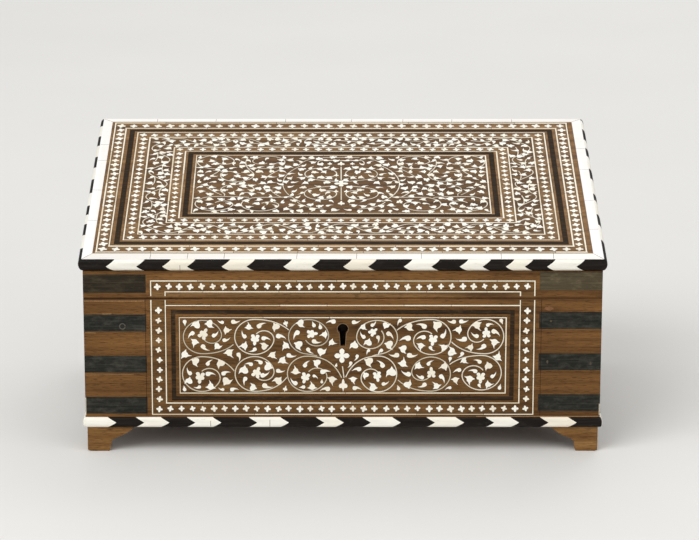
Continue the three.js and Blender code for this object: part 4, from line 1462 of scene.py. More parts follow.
@dataclass
class LidOrnament:
    """The concentric frames, vine band and scroll panel on the lid."""

    top: LidTop
    seed: int
    axis: float = -1.0
    outer_line: Inset = Inset(10.6, 10.9, 7.7)
    outer_flowers: Inset = Inset(15.0, 15.7, 13.4)
    outer_inner_line: Inset = Inset(19.2, 20.4, 17.8)
    outer_ebony: Inset = Inset(22.4, 23.5, 20.2)
    outer_ebony_inner: Inset = Inset(26.3, 27.6, 23.5)
    middle_line: Inset = Inset(28.8, 30.5, 25.8)
    middle_flowers: Inset = Inset(33.6, 34.7, 30.6)
    vine_outer_line: Inset = Inset(38.6, 39.8, 34.6)
    vine_inner_line: Inset = Inset(58.2, 58.9, 53.2)
    inner_flowers: Inset = Inset(62.3, 62.9, 56.8)
    inner_line: Inset = Inset(67.0, 66.6, 60.3)
    inner_ebony: Inset = Inset(69.3, 68.7, 61.9)
    inner_ebony_inner: Inset = Inset(73.2, 72.8, 65.7)
    panel_line: Inset = Inset(75.8, 74.4, 68.0)
    stem_width: float = 0.85
    vine_wave: float = 47.0
    vine_swing: float = 7.3
    vine_margin: float = 2.2
    panel_margin: float = 2.4
    medallion_centre: float = 125.5
    medallion_radius: float = 43.5
    bare_place: float = -20.5
    bare_radii: Point = (6.5, 5.0)

    def __post_init__(self) -> None:
        """Finds the middle of the lid's ornament."""
        self.plane = replace(self.top.plane, origin=self.top.plane.at((self.axis, 0.0)))

    def corners(self, inset: Inset) -> list[Point]:
        """The closed rectangle at an inset."""
        return rectangle(self.top.width / 2 - inset.side, inset.front, self.top.length - inset.back)

    def build(self) -> None:
        """Makes the whole ornament of the lid."""
        self.lay_grounds()
        work = Leafwork("lid_frames", self.plane, self.seed, line_width=1.05)
        for inset, cross_share in (
            (self.outer_line, 1.6), (self.outer_inner_line, 1.5), (self.middle_line, 0.85),
            (self.vine_outer_line, 1.0), (self.vine_inner_line, 1.0), (self.inner_line, 0.85),
            (self.panel_line, 0.85),
        ):
            corners = self.corners(inset)
            for index in range(4):
                work.stringing(corners[index:index + 2], 1.0 if index % 2 else cross_share)
        for inset, across, down, size in (
            (self.outer_flowers, 37, 26, 6.5), (self.middle_flowers, 36, 22, 5.9),
            (self.inner_flowers, 29, 15, 5.6),
        ):
            work.flower_frame(self.corners(inset), across, down, size)
        work.dress()
        self.lay_vine()
        self.lay_panel()

    def lay_grounds(self) -> None:
        """Lays the darker grounds of the ornament and the two ebony frames."""
        row_edges = (
            (self.outer_line, self.outer_inner_line), (self.middle_line, self.vine_outer_line),
            (self.vine_inner_line, self.inner_line),
        )
        vine_edges = ((self.vine_outer_line, self.vine_inner_line),)
        ebony_edges = (
            (self.outer_ebony, self.outer_ebony_inner), (self.inner_ebony, self.inner_ebony_inner),
        )
        rows, vine, ebony = (
            [strip for outer, inner in edges for strip in mitred(self.corners(outer), self.corners(inner))]
            for edges in (row_edges, vine_edges, ebony_edges)
        )
        lay_plates(Inlay("lid_row_ground", self.plane, LID_ROW_WOOD, depth=GROUND_DEPTH), rows)
        vine.append(self.corners(self.panel_line)[:4])
        lay_plates(Inlay("lid_ground", self.plane, LID_GROUND_WOOD, depth=GROUND_DEPTH), vine)
        lay_plates(Inlay("lid_ebony", self.plane, LID_EBONY, Slot.EBONY), ebony, EBONY_LIFT)

    def lay_vine(self) -> None:
        """Lays the waving vine between the middle and the inner flowers."""
        work = Leafwork("lid_vine", self.plane, self.seed + 1, stem_width=self.stem_width)
        outer, inner = self.corners(self.vine_outer_line), self.corners(self.vine_inner_line)
        middle = [between(a, b, 0.5) for a, b in zip(outer, inner)]
        stems = [stem for start, end in zip(middle, middle[1:]) for stem in self.vine_side(start, end)]
        for stem in stems:
            work.stem(stem)

        def in_band(place: Point) -> bool:
            """True between the two lines of the band."""
            margin = self.vine_margin
            return between_sides(place, outer, margin) and not between_sides(place, inner, -margin)

        stem_field = StemField(stems)
        scatter = LeafScatter(spacing=6.2, clearance=1.9, size=6.0, seed=self.seed + 2)
        scatter.fill(work, scatter.places(in_band, outer[0], outer[2], stem_field), stem_field)
        work.dress()

    def vine_side(self, start_corner: Point, end_corner: Point) -> list[list[Point]]:
        """The waving stem of one side of the band, with its branches.

        Args:
            start_corner: Where the side begins, with the band's middle on its left.
            end_corner: Where it ends.

        Returns:
            The stems.
        """
        start, run = Vector(start_corner), Vector(end_corner) - Vector(start_corner)
        along = run.normalized()
        inward = Vector((-along.y, along.x))
        bends = 2 * round(run.length / self.vine_wave - 0.5) + 1

        def place(s: float, offset: float | None = None) -> Point:
            """A place by its distance along the side and inward, on the main stem unless given."""
            if offset is None:
                offset = -self.vine_swing * math.sin(math.pi * bends * s / run.length)
            there = start + along * s + inward * offset
            return (there.x, there.y)

        steps = 12 * bends
        stems = [resample([place(run.length * i / steps) for i in range(steps + 1)])]
        for crossing in range(1, bends):
            s = run.length * crossing / bends
            sign = 1 if crossing % 2 == 0 else -1
            stems.append(bent(place(s - 3), place(s + 5, sign * 1.0), place(s + 12.5, sign * 3.6), 10))
        return stems

    def lay_panel(self) -> None:
        """Lays the scroll panel with its medallion in the middle of the lid."""
        work = Leafwork("lid_panel_scrolls", self.plane, self.seed + 3, stem_width=self.stem_width)
        (left, low), _, (_, high), *_ = self.corners(self.panel_line)
        radii = (self.medallion_radius, self.medallion_radius)
        middle = (0.0, self.medallion_centre)
        circle = [on_ellipse(middle, radii, math.radians(a)) for a in range(-46, 47, 4)]
        half_stems = [
            *(scroll.stem() for scroll in LID_SCROLLS),
            resample([(-u, v) for u, v in circle]),
            *(bent(*arc, 14) for arc in LID_ARCS),
        ]
        stems = [[(sign * u, v) for u, v in stem] for stem in half_stems for sign in (1, -1)]
        stems += [[(-14.0, v), (14.0, v)] for v in (166.5, 171.8)]
        for stem in stems:
            work.stem(stem)
        for low_end, high_end in ((132.0, 155.0), (97.0, 119.0)):
            work.stem(resample([(0.0, low_end), (0.0, high_end)]), 1.1)

        def in_panel(place: Point) -> bool:
            """True inside the left half of the panel, but for the bare ground by the centre."""
            across, upward = place[0] - self.bare_place, place[1] - self.medallion_centre
            bare_share = math.hypot(across / self.bare_radii[0], upward / self.bare_radii[1])
            margin = self.panel_margin
            within = left + margin < place[0] < -3.2 and low + margin < place[1] < high - margin
            return within and bare_share > 1

        stem_field = StemField(stems)
        scatter = LeafScatter(spacing=6.8, clearance=2.0, size=5.9, seed=self.seed + 4)
        top_bud, low_bud = (0.0, 160.5), (0.0, 91.5)
        buds = [(-8.5, 160.6), (-3.6, 140.0), (-3.8, 112.0)]
        taken = [middle, top_bud, low_bud, *buds]
        places = scatter.places(in_panel, (left, low), (0.0, high), stem_field, taken)
        scatter.fill(work, [(sign * u, v) for u, v in places for sign in (-1, 1)], stem_field)
        work.upright(Leaf.CROSS, middle, 10.6)
        work.upright(Leaf.FLEUR, top_bud, 8.4)
        work.upright(Leaf.FLEUR, low_bud, 8.0)
        for u, v in buds:
            work.upright(Leaf.FLEUR, (u, v), 5.6)
            work.upright(Leaf.FLEUR, (-u, v), 5.6)
        work.dress()


@dataclass
class BorderJoints:
    """The hairline joints between the lengths of the lid's bone border."""

    top: LidTop
    front: tuple[float, ...] = (-136.9, -110.5, -84.4, -32.8, 9.7, 55.7, 112.5, 149.7)
    back: tuple[float, ...] = (-143.9, -98.3, -44.2, 7.1, 47.1, 85.2, 131.8)
    left: tuple[float, ...] = (62.6, 114.0, 166.5, 195.2)
    right: tuple[float, ...] = (48.0, 96.5, 150.0, 188.0)
    width: float = 0.28
    lean: float = 0.25
    edge: float = 0.3
    widths: Inset = Inset(7.0, 8.7, 5.4)

    def build(self) -> None:
        """Makes the joints across all four strips and along their mitres."""
        half, length, edge = self.top.width / 2, self.top.length, self.edge
        inner_front, inner_back = self.widths.front, length - self.widths.back
        lines = [[(u, edge), (u + self.lean, inner_front)] for u in self.front]
        lines += [[(u, inner_back), (u + self.lean, length - edge)] for u in self.back]
        for places, sign in ((self.left, -1), (self.right, 1)):
            inner, outer = sign * (half - self.widths.side), sign * (half - edge)
            lines += [[(inner, v), (outer, v + self.lean)] for v in places]
        for sign in (-1, 1):
            inner, outer = sign * (half - self.widths.side), sign * (half - edge)
            lines.append([(outer, edge), (inner, inner_front)])
            lines.append([(outer, length - edge), (inner, inner_back)])
        joints = Inlay("border_joints", self.top.plane, GLUE, Slot.BONE, 0.1)
        lay_strips(joints, [(line, self.width) for line in lines], 0.03)


@dataclass(frozen=True)
class BeadProfile:
    """The section of a bead moulding, in millimetres.

    Distances are measured inward from the moulding's rectangle. The rebate is
    how far the rounded face rises past the ledge that a border strip lies on.
    """

    width: float
    bottom: float
    top: float
    bulge: float
    undercut: float
    rebate: float = 0.0
    seam: float = 0.2

    @property
    def crest(self) -> float:
        """The height of the rounded face's upper edge."""
        return self.top + self.rebate

    def outline(self, steps: int = 12) -> list[Point]:
        """The section's points as inward distance and height.

        Args:
            steps: How many steps the rounded face has.

        Returns:
            The rounded face from the top down, then the hidden corners.
        """
        height = self.crest - self.bottom
        knots = (
            (-self.seam if self.rebate else 0.0, self.crest),
            (-1.3 * self.bulge, self.crest - 0.08 * height),
            (self.undercut / 2 - 1.55 * self.bulge, self.bottom + 0.12 * height),
            (self.undercut, self.bottom),
        )
        points = []
        for step in range(steps + 1):
            t = step / steps
            weights = ((1 - t) ** 3, 3 * t * (1 - t) ** 2, 3 * t**2 * (1 - t), t**3)
            u, v = (sum(weight * knot[axis] for weight, knot in zip(weights, knots)) for axis in (0, 1))
            points.append((u, v))
        hidden = self.width - self.seam
        ledge = [(-self.seam, self.top)] if self.rebate else []
        return [*points, (hidden, self.bottom), (hidden, self.top), *ledge]


@dataclass
class ChevronBead:
    """A bead moulding of bone and ebony chevrons round a rectangle.

    The cuts are the places of the chevrons' tips along each side, in
    millimetres from its middle. Sides run anticlockwise seen from above.
    """

    name: str
    node: str
    base: Plane
    centre: Point
    width: float
    length: float
    profile: BeadProfile
    cuts: dict[Side, tuple[float, ...]]
    bone_first: bool
    tips_to_right: bool
    seed: int
    tip: float = 6.3
    joint: float = 0.16
    pitch: tuple[float, float] = (16.0, 25.0)
    corner_steps: int = 3
    corner_spread: float = 0.6
    end_gap: float = 0.1
    crack_width: float = 0.32
    crack_proud: float = 0.03
    crack_depth: float = 0.3

    def build(self) -> None:
        """Makes the four sides."""
        chance = random.Random(self.seed)
        for side in Side:
            half = (self.width if side.across else self.length) / 2
            self.build_side(side, half, self.cuts.get(side) or self.uneven_cuts(half, chance))

    def uneven_cuts(self, half: float, chance: random.Random) -> tuple[float, ...]:
        """Cut places at an uneven pitch along a side.

        Args:
            half: Half the side's length.
            chance: Where the random pitch comes from.

        Returns:
            The places.
        """
        cuts = []
        place = -half + chance.uniform(*self.pitch)
        while place < half - self.pitch[0]:
            cuts.append(place)
            place += chance.uniform(*self.pitch)
        return tuple(cuts)

    def side_frame(self, side: Side) -> tuple[Vector, Vector, Vector]:
        """The middle of one side's outer edge, and its directions along and inward."""
        (u, v), right, up = self.centre, self.base.right, self.base.up
        half_width, half_length = self.width / 2, self.length / 2
        place, along, inward = {
            Side.FRONT: ((u, v - half_length), right, up),
            Side.RIGHT: ((u + half_width, v), up, -right),
            Side.BACK: ((u, v + half_length), -right, -up),
            Side.LEFT: ((u - half_width, v), -up, right),
        }[side]
        return self.base.at(place), along, inward

    def cut_ring(self, half: float, place: float) -> list[Vector]:
        """The section at a chevron's cut.

        Args:
            half: Half the side's outer length.
            place: Where the chevron's tip lies along the side.

        Returns:
            Points as distances along and inward, and height.
        """
        low, high = self.profile.bottom, self.profile.crest
        lean = -1 if self.tips_to_right else 1
        ring = []
        for distance, height in self.profile.outline():
            split = abs(2 * (height - low) / (high - low) - 1)
            short = max(distance, -self.profile.seam) + self.corner_spread
            limit = half - short - self.end_gap
            s = max(-limit, min(limit, place + lean * self.tip * split))
            ring.append(Vector((s, distance, height)))
        return ring

    def corner_ring(self, half: float, sign: int, share: float) -> list[Vector]:
        """The section on the rounded corner at one end.

        Args:
            half: Half the side's outer length.
            sign: Which end, -1 or 1.
            share: How far round the corner, from 0 to 1 at the mitre.

        Returns:
            Points as distances along and inward, and height.
        """
        angle = share * math.pi / 4
        ring = []
        for distance, height in self.profile.outline():
            radius = max(0.0, -self.profile.seam - distance)
            short = distance + radius * (1 - math.sin(angle)) + self.corner_spread * (1 - share)
            inward = distance + radius * (1 - math.cos(angle))
            ring.append(Vector((sign * (half - short - self.end_gap), inward, height)))
        return ring

    def build_side(self, side: Side, half: float, cuts: Sequence[float]) -> None:
        """Makes one side from alternate pieces of bone and ebony.

        Args:
            side: Which side.
            half: Half its outer length.
            cuts: Where the chevrons' tips lie along it.
        """
        origin, along, inward = self.side_frame(side)
        shares = [step / self.corner_steps for step in range(self.corner_steps + 1)]
        vertices: list[Vector] = []
        faces: list[Face] = []
        slots: list[int] = []
        for index in range(len(cuts) + 1):
            if index == 0:
                rings = [self.corner_ring(half, -1, share) for share in reversed(shares)]
            else:
                rings = [self.cut_ring(half, cuts[index - 1] + self.joint / 2)]
            if index == len(cuts):
                rings += [self.corner_ring(half, 1, share) for share in shares]
            else:
                rings.append(self.cut_ring(half, cuts[index] - self.joint / 2))
            first = len(vertices)
            for ring in rings:
                vertices += [
                    origin + (along * s + inward * distance + self.base.normal * height) * MM
                    for s, distance, height in ring
                ]
            faces += self.piece_faces(vertices, first, len(rings))
            bone = (index % 2 == 0) == self.bone_first
            slots += [0 if bone else 1] * (len(faces) - len(slots))
        name = f"{self.name}_{side.value}"
        piece = make_piece(name, vertices, faces, self.base.body, Slot.CHEVRON_BEAD, BONE, BEAD_EBONY)
        piece.data.polygons.foreach_set("material_index", slots)
        piece.data.polygons.foreach_set("use_smooth", [True] * len(faces))
        piece.data.set_sharp_from_angle(angle=math.radians(50))
        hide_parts(f"{self.node}_{side.value}")

    def piece_faces(self, vertices: list[Vector], first: int, rings: int) -> list[Face]:
        """The faces of one piece, with its two ends closed round their middles.

        Args:
            vertices: The corners, to which the two middles are added.
            first: The index of the piece's first corner.
            rings: How many rings it has.

        Returns:
            The faces.
        """
        count = (len(vertices) - first) // rings
        pairs = [(here, (here + 1) % count) for here in range(count)]
        faces = []
        for near in range(first, first + (rings - 1) * count, count):
            far = near + count
            faces += [(near + here, near + after, far + after, far + here) for here, after in pairs]
        for start, turned in ((first, True), (first + (rings - 1) * count, False)):
            vertices.append(sum((vertices[start + i] for i in range(count)), Vector()) / count)
            centre = len(vertices) - 1
            for here, after in pairs:
                near, far = (after, here) if turned else (here, after)
                faces.append((start + near, start + far, centre))
        return faces

    def crack(self, place: float, low: float, high: float) -> None:
        """Makes the dark filling of a hairline crack down the front side's face.

        Args:
            place: Where it lies along the front.
            low: The height of its lower end.
            high: The height of its upper end.
        """
        origin, along, inward = self.side_frame(Side.FRONT)
        face = [point for point in self.profile.outline(24)[:25] if low <= point[1] <= high]
        half, proud, depth = self.crack_width / 2, self.crack_proud, self.crack_depth
        vertices = []
        for distance, height in face:
            for s, lift in ((-half, proud), (half, proud), (half, -depth), (-half, -depth)):
                shift = along * (place + s) + inward * (distance - lift) + self.base.normal * height
                vertices.append(origin + shift * MM)
        faces = [(0, 1, 2, 3), tuple(range(len(vertices) - 1, len(vertices) - 5, -1))]
        for near in range(0, len(vertices) - 4, 4):
            for here in range(4):
                after = (here + 1) % 4
                faces.append((near + after, near + here, near + 4 + here, near + 4 + after))
        name = f"{self.name}_crack_{round(abs(place))}"
        make_piece(name, vertices, faces, self.base.body, Slot.BONE, GLUE)


LID_CUTS = {
    Side.FRONT: (
        -168.4, -146.8, -128.4, -110.8, -86.3, -68.6, -42.4, -22.4, 0.0,
        17.7, 43.0, 62.6, 82.7, 98.9, 115.4, 128.9, 144.7, 165.6,
    ),
    Side.LEFT: (-115.0, -95.8, -78.4, -58.3, -39.1, -18.2, 5.5, 27.3, 42.5, 58.3, 76.2, 97.8),
    Side.RIGHT: (-96.6, -71.7, -53.8, -30.1, -19.1, 7.5, 24.9, 47.6, 62.2, 77.6, 97.1, 113.9),
}
BASE_CUTS = {
    Side.FRONT: (
        -162.6, -142.5, -124.5, -105.8, -87.1, -61.2, -38.5, -13.0, 1.0,
        20.5, 42.0, 66.6, 87.6, 109.2, 127.1, 148.4, 168.6,
    ),
}


@dataclass
class Mouldings:
    """The bead mouldings of the lid and of the bottom board."""

    top: LidTop
    base_width: float = 371.0
    base_length: float = 235.0

    def build(self) -> None:
        """Makes both mouldings."""
        lid = ChevronBead(
            "lid_bead", "lid_moulding", self.top.plane, (0.0, self.top.length / 2),
            self.top.width, self.top.length,
            BeadProfile(width=4.6, bottom=-9.4, top=-1.4, bulge=2.8, undercut=0.9, rebate=1.2),
            LID_CUTS, bone_first=False, tips_to_right=False, seed=31,
        )
        lid.build()
        lid.crack(-115.6, -8.6, -3.6)
        floor = Plane(Vector(), Vector((1, 0, 0)), Vector((0, 1, 0)), Body.BOX)
        low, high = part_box("floor_board")
        base = ChevronBead(
            "base_bead", "base_moulding", floor, (0.0, 0.0), self.base_width, self.base_length,
            BeadProfile(width=6.0, bottom=low.z / MM, top=high.z / MM, bulge=1.4, undercut=0.0),
            BASE_CUTS, bone_first=True, tips_to_right=True, seed=32,
        )
        base.build()
        base.crack(-95.0, 19.4, 23.8)
        base.crack(-52.4, 19.0, 24.6)


@dataclass
class SlopingRail:
    """The ornament of a side rail of the lid, which rises towards the back."""

    side: Side
    top: LidTop
    seed: int
    half_line: float = 68.8
    bottom_line: float = 119.4
    band: float = 8.4
    flower_pitch: float = 7.8
    flower_size: float = 4.7
    waves: int = 2
    steps: int = 120

    def ceiling(self, u: float, drop: float) -> float:
        """The height of a line that runs a given drop below the lid's board.

        Args:
            u: The place along the rail.
            drop: How far below the board it runs, across the slope.

        Returns:
            Its height above the floor.
        """
        back = u if self.side is Side.RIGHT else -u
        _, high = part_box(f"lid_{self.side.value}_rail")
        rise = (high.y / MM - back) * math.tan(self.top.slope)
        return high.z / MM - rise - drop / math.cos(self.top.slope)

    def outline(self, inset: float) -> list[Point]:
        """The closed frame at an inset from the outermost line."""
        half, low, drop = self.half_line - inset, self.bottom_line + inset, 3.4 + inset
        tops = [(u, self.ceiling(u, drop)) for u in (half, -half)]
        return [(-half, low), (half, low), *tops, (-half, low)]

    def build(self) -> None:
        """Makes the rail's ornament."""
        plane, name = wall_plane(self.side, Body.LID), f"rail_{self.side.value}"
        outer, inner = self.outline(0.0), self.outline(self.band)
        lay_plates(Inlay(f"{name}_ground", plane, GROUND_WOOD_Y, depth=GROUND_DEPTH), [outer[:4]])
        work = Leafwork(name, plane, self.seed)
        work.stringing(outer)
        work.stringing(inner)
        middle = self.outline(self.band / 2)
        for start, end in zip(middle, middle[1:]):
            count = max(2, round(math.dist(start, end) / self.flower_pitch))
            work.flower_row(start, between(start, end, 1 - 1 / count), count, self.flower_size)
        self.lay_vine(work, inner)
        work.dress()

    def lay_vine(self, work: Leafwork, inner: Line) -> None:
        """Fills the inner field with a waving vine.

        Args:
            work: What the vine is laid in.
            inner: The field's closed outline.
        """
        (left, low), (right, _), (_, right_top), (_, left_top), *_ = inner

        def ceiling(u: float) -> float:
            """The height of the field's sloping edge."""
            return left_top + (right_top - left_top) * (u - left) / (right - left)

        line = []
        for step in range(self.steps + 1):
            u = left + 4 + (right - left - 8) * step / self.steps
            tall = ceiling(u) - low
            swing = max(0.0, tall / 2 - 4.0) * math.sin(step / self.steps * 2 * self.waves * math.pi)
            line.append((u, low + tall / 2 + swing))
        stem = resample(line)
        stems = StemField([stem])
        work.stem(stem)

        def in_field(place: Point) -> bool:
            """True inside the inner frame."""
            return left + 2 < place[0] < right - 2 and low + 2 < place[1] < ceiling(place[0]) - 2

        scatter = LeafScatter(spacing=6.4, clearance=2.4, size=6.0, seed=self.seed + 1)
        places = scatter.places(in_field, (left, low), (right, max(right_top, left_top)), stems)
        scatter.fill(work, places, stems)


@dataclass
class BackRail:
    """The framed row of scrolls on the lid's tall back rail."""

    seed: int
    half_line: float = 136.8
    bottom_line: float = 119.4
    top_line: float = 180.6
    band: float = 8.4
    ebony_gap: float = 3.6
    ebony_width: float = 3.2
    panel_gap: float = 3.0

    def outline(self, inset: float) -> list[Point]:
        """The closed frame at an inset from the outermost line."""
        return rectangle(self.half_line - inset, self.bottom_line + inset, self.top_line - inset)

    def build(self) -> None:
        """Makes the rail's ornament."""
        plane = wall_plane(Side.BACK, Body.LID)
        ebony_inset = self.band + self.ebony_gap
        panel_inset = ebony_inset + self.ebony_width + self.panel_gap
        panel = self.outline(panel_inset)
        lay_plates(
            Inlay("rail_back_ground", plane, GROUND_WOOD_X, depth=GROUND_DEPTH),
            [*mitred(self.outline(0.0), self.outline(self.band)), panel[:4]],
        )
        strips = mitred(self.outline(ebony_inset), self.outline(ebony_inset + self.ebony_width))
        lay_plates(Inlay("rail_back_ebony", plane, EBONY_X, Slot.EBONY), strips, EBONY_LIFT)
        work = Leafwork("rail_back", plane, self.seed)
        for inset in (0.0, self.band, panel_inset):
            work.stringing(self.outline(inset))
        work.flower_frame(self.outline(self.band / 2), 35, 6, 4.7, gap=7.6)
        self.lay_scrolls(work, panel)
        work.dress()

    def lay_scrolls(self, work: Leafwork, panel: Line) -> None:
        """Fills the panel with a row of scrolls.

        Args:
            work: What the scrolls are laid in.
            panel: The panel's closed outline.
        """
        (left, low), _, (right, high), *_ = panel
        radius = (high - low) / 2 - 1.6
        count = round((right - left) / (2.5 * radius))
        pitch = (right - left) / count
        stems = []
        for index in range(count):
            upward = 1 if index % 2 == 0 else -1
            lead = (pitch * 0.75, upward * 2.0) if index < count - 1 else None
            centre = (left + pitch * (index + 0.5), (low + high) / 2)
            stems.append(Scroll(centre, (radius, radius), 90 * upward, 260 * upward, lead).stem())
        for stem in stems:
            work.stem(stem)
        stem_field = StemField(stems)
        scatter = LeafScatter(spacing=6.6, clearance=2.5, size=6.2, seed=self.seed + 1)
        places = scatter.places(
            lambda place: between_sides(place, panel, 2), (left, low), (right, high), stem_field
        )
        scatter.fill(work, places, stem_field)


@dataclass
class WallTrim:
    """Small marks of age and make on the front: joints, worn edges, a peg, knots, with a painted highlight
    along the wall's top edge, painted shade in the seam under the lid rail, and pale corner lines that are
    partly wear and partly painted highlight.
    """

    joint_inner: float = 140.9
    joint_top: float = 113.8
    joint_bottom: float = 27.0
    # Height of the painted highlight along the wall's top edge.
    lit_top_edge: float = 112.5
    # Height of the painted shade line in the seam under the lid rail.
    seam_height: float = 114.3
    peg_place: Point = (-157.4, 93.7)
    peg_radius: float = 2.0

    def build(self) -> None:
        """Makes the marks."""
        front = wall_plane(Side.FRONT, Body.BOX)
        # worn holds the height of the painted highlight on the top edge, seam that of the painted shade in
        # the seam.
        worn, seam = self.lit_top_edge, self.seam_height
        joints = [
            ([(u, self.joint_bottom), (u, self.joint_top)], 0.3)
            for u in (-self.joint_inner, self.joint_inner + 0.9)
        ]
        # The first strip, along the wall's top edge, is a painted highlight where light catches that edge;
        # the other strips are worn edges.
        edges = [
            ([(-184.6, worn), (-141.5, worn)], 0.7), ([(-135.0, 25.9), (96.0, 26.0)], 0.4),
            ([(-184.0, 57.4), (-150.0, 57.8)], 0.3), ([(-171.5, 102.9), (-165.0, 103.0)], 0.5),
            ([(-184.0, 89.1), (-176.5, 88.8)], 0.4), ([(96.0, 26.3), (184.4, 26.3)], 0.9),
        ]
        # Painted shade: dark strips in the seam between the wall and the lid rail, where shade falls.
        shadows = [([(-184.6, seam), (-100.0, seam)], 0.7), ([(-100.0, seam), (184.6, seam)], 0.4)]
        # Pale lines on the corner edges of the lowest band: worn edges, and partly a painted highlight of
        # light on those edges.
        corners = [([(-184.7, 27.4), (-184.6, 40.6)], 0.5), ([(184.6, 27.6), (184.5, 36.0)], 0.5)]
        blots = (((146.6, 67.4), 0.7, 1.3, 3), ((177.6, 66.2), 0.8, 1.1, 4), ((148.6, 97.6), 0.8, 0.7, 5))

        def mark(name: str, finish: Finish, slot: Slot = Slot.ROSEWOOD) -> Inlay:
            """A shallow piece on the front."""
            return Inlay(name, front, finish, slot, MARK_DEPTH)

        lay_strips(mark("front_joints", SEAM), joints, 0.03)
        # Worn edges, with the painted highlight along the top edge.
        lay_strips(mark("front_worn_and_lit_edges", SCUFF), edges, 0.04)
        lay_plates(mark("front_scuff", FAINT_SCUFF), [self.blot((147.0, 107.0), 3.4, 1.7, 8)], 0.03)
        # Painted shade in the seam under the lid rail.
        lay_strips(mark("rail_seam_shade", SEAM), shadows, 0.03)
        # Corner lines, partly wear and partly painted highlight.
        lay_strips(mark("corner_worn_lit_lines", WORN_LIT_BONE, Slot.BONE), corners, 0.05)
        lay_plates(mark("band_knots", KNOT, Slot.EBONY), [self.blot(*blot) for blot in blots], 0.07)
        peg = self.blot(self.peg_place, self.peg_radius, self.peg_radius, 0)
        lay_strips(Inlay("band_peg", front, PEG), [(peg, 0.7)], 0.07)

    def blot(self, middle: Point, wide: float, high: float, seed: int) -> list[Point]:
        """A rounded outline, uneven unless the seed is 0.

        Args:
            middle: Its middle.
            wide: Its rough half width.
            high: Its rough half height.
            seed: The seed of its unevenness.

        Returns:
            The outline's points.
        """
        chance = random.Random(seed)
        points = []
        for degrees in range(0, 360, 15):
            share = chance.uniform(0.75, 1.15) if seed else 1.0
            points.append(on_ellipse(middle, (wide * share, high * share), math.radians(degrees)))
        return points


@dataclass
class PackedPieces:
    """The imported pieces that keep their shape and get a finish."""

    edge_round: float = 0.35
    foot_round: float = 1.1
    finishes: tuple[tuple[Finish, str], ...] = (
        (ROSEWOOD_X, "floor_board front_board back_board lid_front_rail lid_back_rail"),
        (ROSEWOOD_Y, "left_side_board right_side_board lid_left_rail lid_right_rail"),
        (LID_WOOD, "lid_panel"),
        (FOOT_WOOD, "foot"),
        (BAND_EBONY, "corner_band"),
        (LID_BAND_LEFT_SHADE, "lid_corner_band_front_left lid_corner_band_back_left"),
        (LID_BAND_RIGHT_LIT, "lid_corner_band_front_right lid_corner_band_back_right"),
        (BORDER_BONE, "bone_border"),
        (BRASS, "hinge_box_leaf hinge_lid_leaf lock_keeper"),
        (IRON, "hinge_pin hinge_nail lock_bolt"),
        (DARK_IRON, "lock_case"),
    )

    def build(self) -> None:
        """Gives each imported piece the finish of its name's first words, and eases its edges."""
        for name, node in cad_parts.items():
            for finish, starts in self.finishes:
                if name.startswith(tuple(starts.split())):
                    node.material_slots[0].material = finish.material()
                    bevel = node.modifiers.new("eased_edges", "BEVEL")
                    bevel.width = (self.foot_round if finish is FOOT_WOOD else self.edge_round) * MM
                    bevel.segments = 2
                    bevel.limit_method = "ANGLE"
                    bevel.angle_limit = math.radians(40)
                    log.info("%s: %s", name, finish.name)


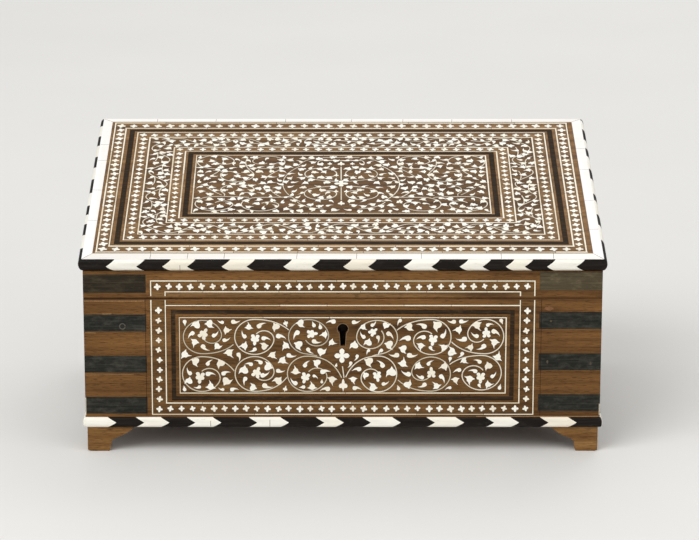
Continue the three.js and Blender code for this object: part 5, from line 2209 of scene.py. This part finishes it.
@dataclass
class Studio:
    """The pale floor, the soft lights and the camera."""

    floor_half: float = 6.0
    floor_steps: int = 24
    sky: float = 0.62
    backdrop: float = 0.9
    reflected: float = 0.4
    eye: Vector = field(default_factory=lambda: Vector((-0.005, -2.254, 0.698)))
    pitch: float = 14.75
    yaw: float = 0.261
    roll: float = 0.075
    lens: float = 160.1

    def build(self) -> None:
        """Makes the studio."""
        self.make_floor()
        self.make_sky()
        self.make_lamp("key_light", Vector((-1.5, -1.9, 2.6)), 2.2, 62.0)
        self.make_lamp("fill_light", Vector((2.2, -2.2, 1.4)), 2.4, 22.0)
        self.make_lamp("back_light", Vector((0.6, 2.4, 2.2)), 2.2, 22.0)
        self.make_camera()
        bpy.context.scene.view_settings.view_transform = "Standard"

    def add(self, name: str, data: bpy.types.ID) -> bpy.types.Object:
        """Puts a new object with its data into the scene."""
        made = bpy.data.objects.new(name, data)
        bpy.context.scene.collection.objects.link(made)
        return made

    def make_floor(self) -> None:
        """Makes the floor as a flat, finely divided sheet."""
        steps, half = self.floor_steps, self.floor_half
        places = [-half + 2 * half * step / steps for step in range(steps + 1)]
        vertices = [(x, y, 0.0) for y in places for x in places]
        corners = [row * (steps + 1) + column for row in range(steps) for column in range(steps)]
        faces = [(corner, corner + 1, corner + steps + 2, corner + steps + 1) for corner in corners]
        mesh = bpy.data.meshes.new("floor")
        mesh.from_pydata(vertices, [], faces)
        mesh.materials.append(FLOOR.material())
        self.add("floor", mesh)

    def make_sky(self) -> None:
        """Lights the scene evenly, with a pale background to the camera."""
        world = bpy.data.worlds.new("studio")
        bpy.context.scene.world = world
        world.use_nodes = True
        tree = world.node_tree
        background = tree.nodes["Background"]
        background.inputs["Color"].default_value = (1.0, 1.0, 1.0, 1.0)
        path = tree.nodes.new("ShaderNodeLightPath")
        strength = None
        for ray, level in (("Is Camera Ray", self.backdrop), ("Is Glossy Ray", self.reflected)):
            step = tree.nodes.new("ShaderNodeMath")
            step.operation = "MULTIPLY_ADD"
            tree.links.new(path.outputs[ray], step.inputs[0])
            step.inputs[1].default_value = level - self.sky
            step.inputs[2].default_value = self.sky
            if strength is not None:
                tree.links.new(strength, step.inputs[2])
            strength = step.outputs[0]
        tree.links.new(strength, background.inputs["Strength"])

    def make_lamp(self, name: str, place: Vector, size: float, power: float) -> None:
        """Makes a soft lamp that faces the box.

        Args:
            name: The lamp's name.
            place: Where it stands.
            size: The width of its square, in metres.
            power: Its power in watts.
        """
        lamp = bpy.data.lights.new(name, "AREA")
        lamp.shape = "SQUARE"
        lamp.size = size
        lamp.energy = power
        holder = self.add(name, lamp)
        holder.location = place
        facing = Vector((0, 0, 0.1)) - place
        holder.rotation_euler = facing.to_track_quat("-Z", "Y").to_euler()

    def make_camera(self) -> None:
        """Makes the camera at the photograph's angle."""
        down, turn, tilt = (math.radians(a) for a in (self.pitch, self.yaw, self.roll))
        forward = Vector((math.sin(turn) * math.cos(down), math.cos(turn) * math.cos(down), -math.sin(down)))
        level = forward.cross(Vector((0, 0, 1))).normalized()
        upright = level.cross(forward)
        right = level * math.cos(tilt) + upright * math.sin(tilt)
        up = right.cross(forward)
        data = bpy.data.cameras.new("camera")
        data.lens = self.lens
        data.sensor_width = 36.0
        camera = self.add("camera", data)
        turned = Matrix((right, up, -forward)).transposed().to_4x4()
        camera.matrix_world = Matrix.Translation(self.eye) @ turned
        bpy.context.scene.camera = camera


def side_scrolls() -> list[Scroll]:
    """The two scrolls of a side wall's left half, without leaves past its middle."""
    chosen = []
    for scroll in MIDDLE_SCROLLS:
        centre = (-25.5, scroll.centre[1])
        kept = tuple(sprig for sprig in scroll.sprigs if centre[0] + sprig.du < -3.5)
        chosen.append(replace(scroll, centre=centre, sprigs=kept))
    return chosen


def main() -> None:
    """Builds the box's looks in order."""
    logging.basicConfig(level=logging.INFO, format="%(message)s")
    top = LidTop()
    half_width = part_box("front_board")[1].x / MM
    half_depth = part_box("back_board")[1].y / MM
    PackedPieces().build()
    Mouldings(top).build()
    BorderJoints(top).build()
    FrontOrnament(Side.FRONT, half_width, LEFT_SCROLLS, 11, 0.6, RIGHT_SCROLLS).build()
    WallOrnament(Side.BACK, half_width, LEFT_SCROLLS, 12).build()
    WallOrnament(Side.LEFT, half_depth, side_scrolls(), 13).build()
    WallOrnament(Side.RIGHT, half_depth, side_scrolls(), 14).build()
    FrontRailOrnament(seed=21).build()
    SlopingRail(Side.LEFT, top, seed=22).build()
    SlopingRail(Side.RIGHT, top, seed=23).build()
    BackRail(seed=24).build()
    LidOrnament(top, seed=41).build()
    WallTrim().build()
    Studio().build()


if __name__ == "__main__":
    main()
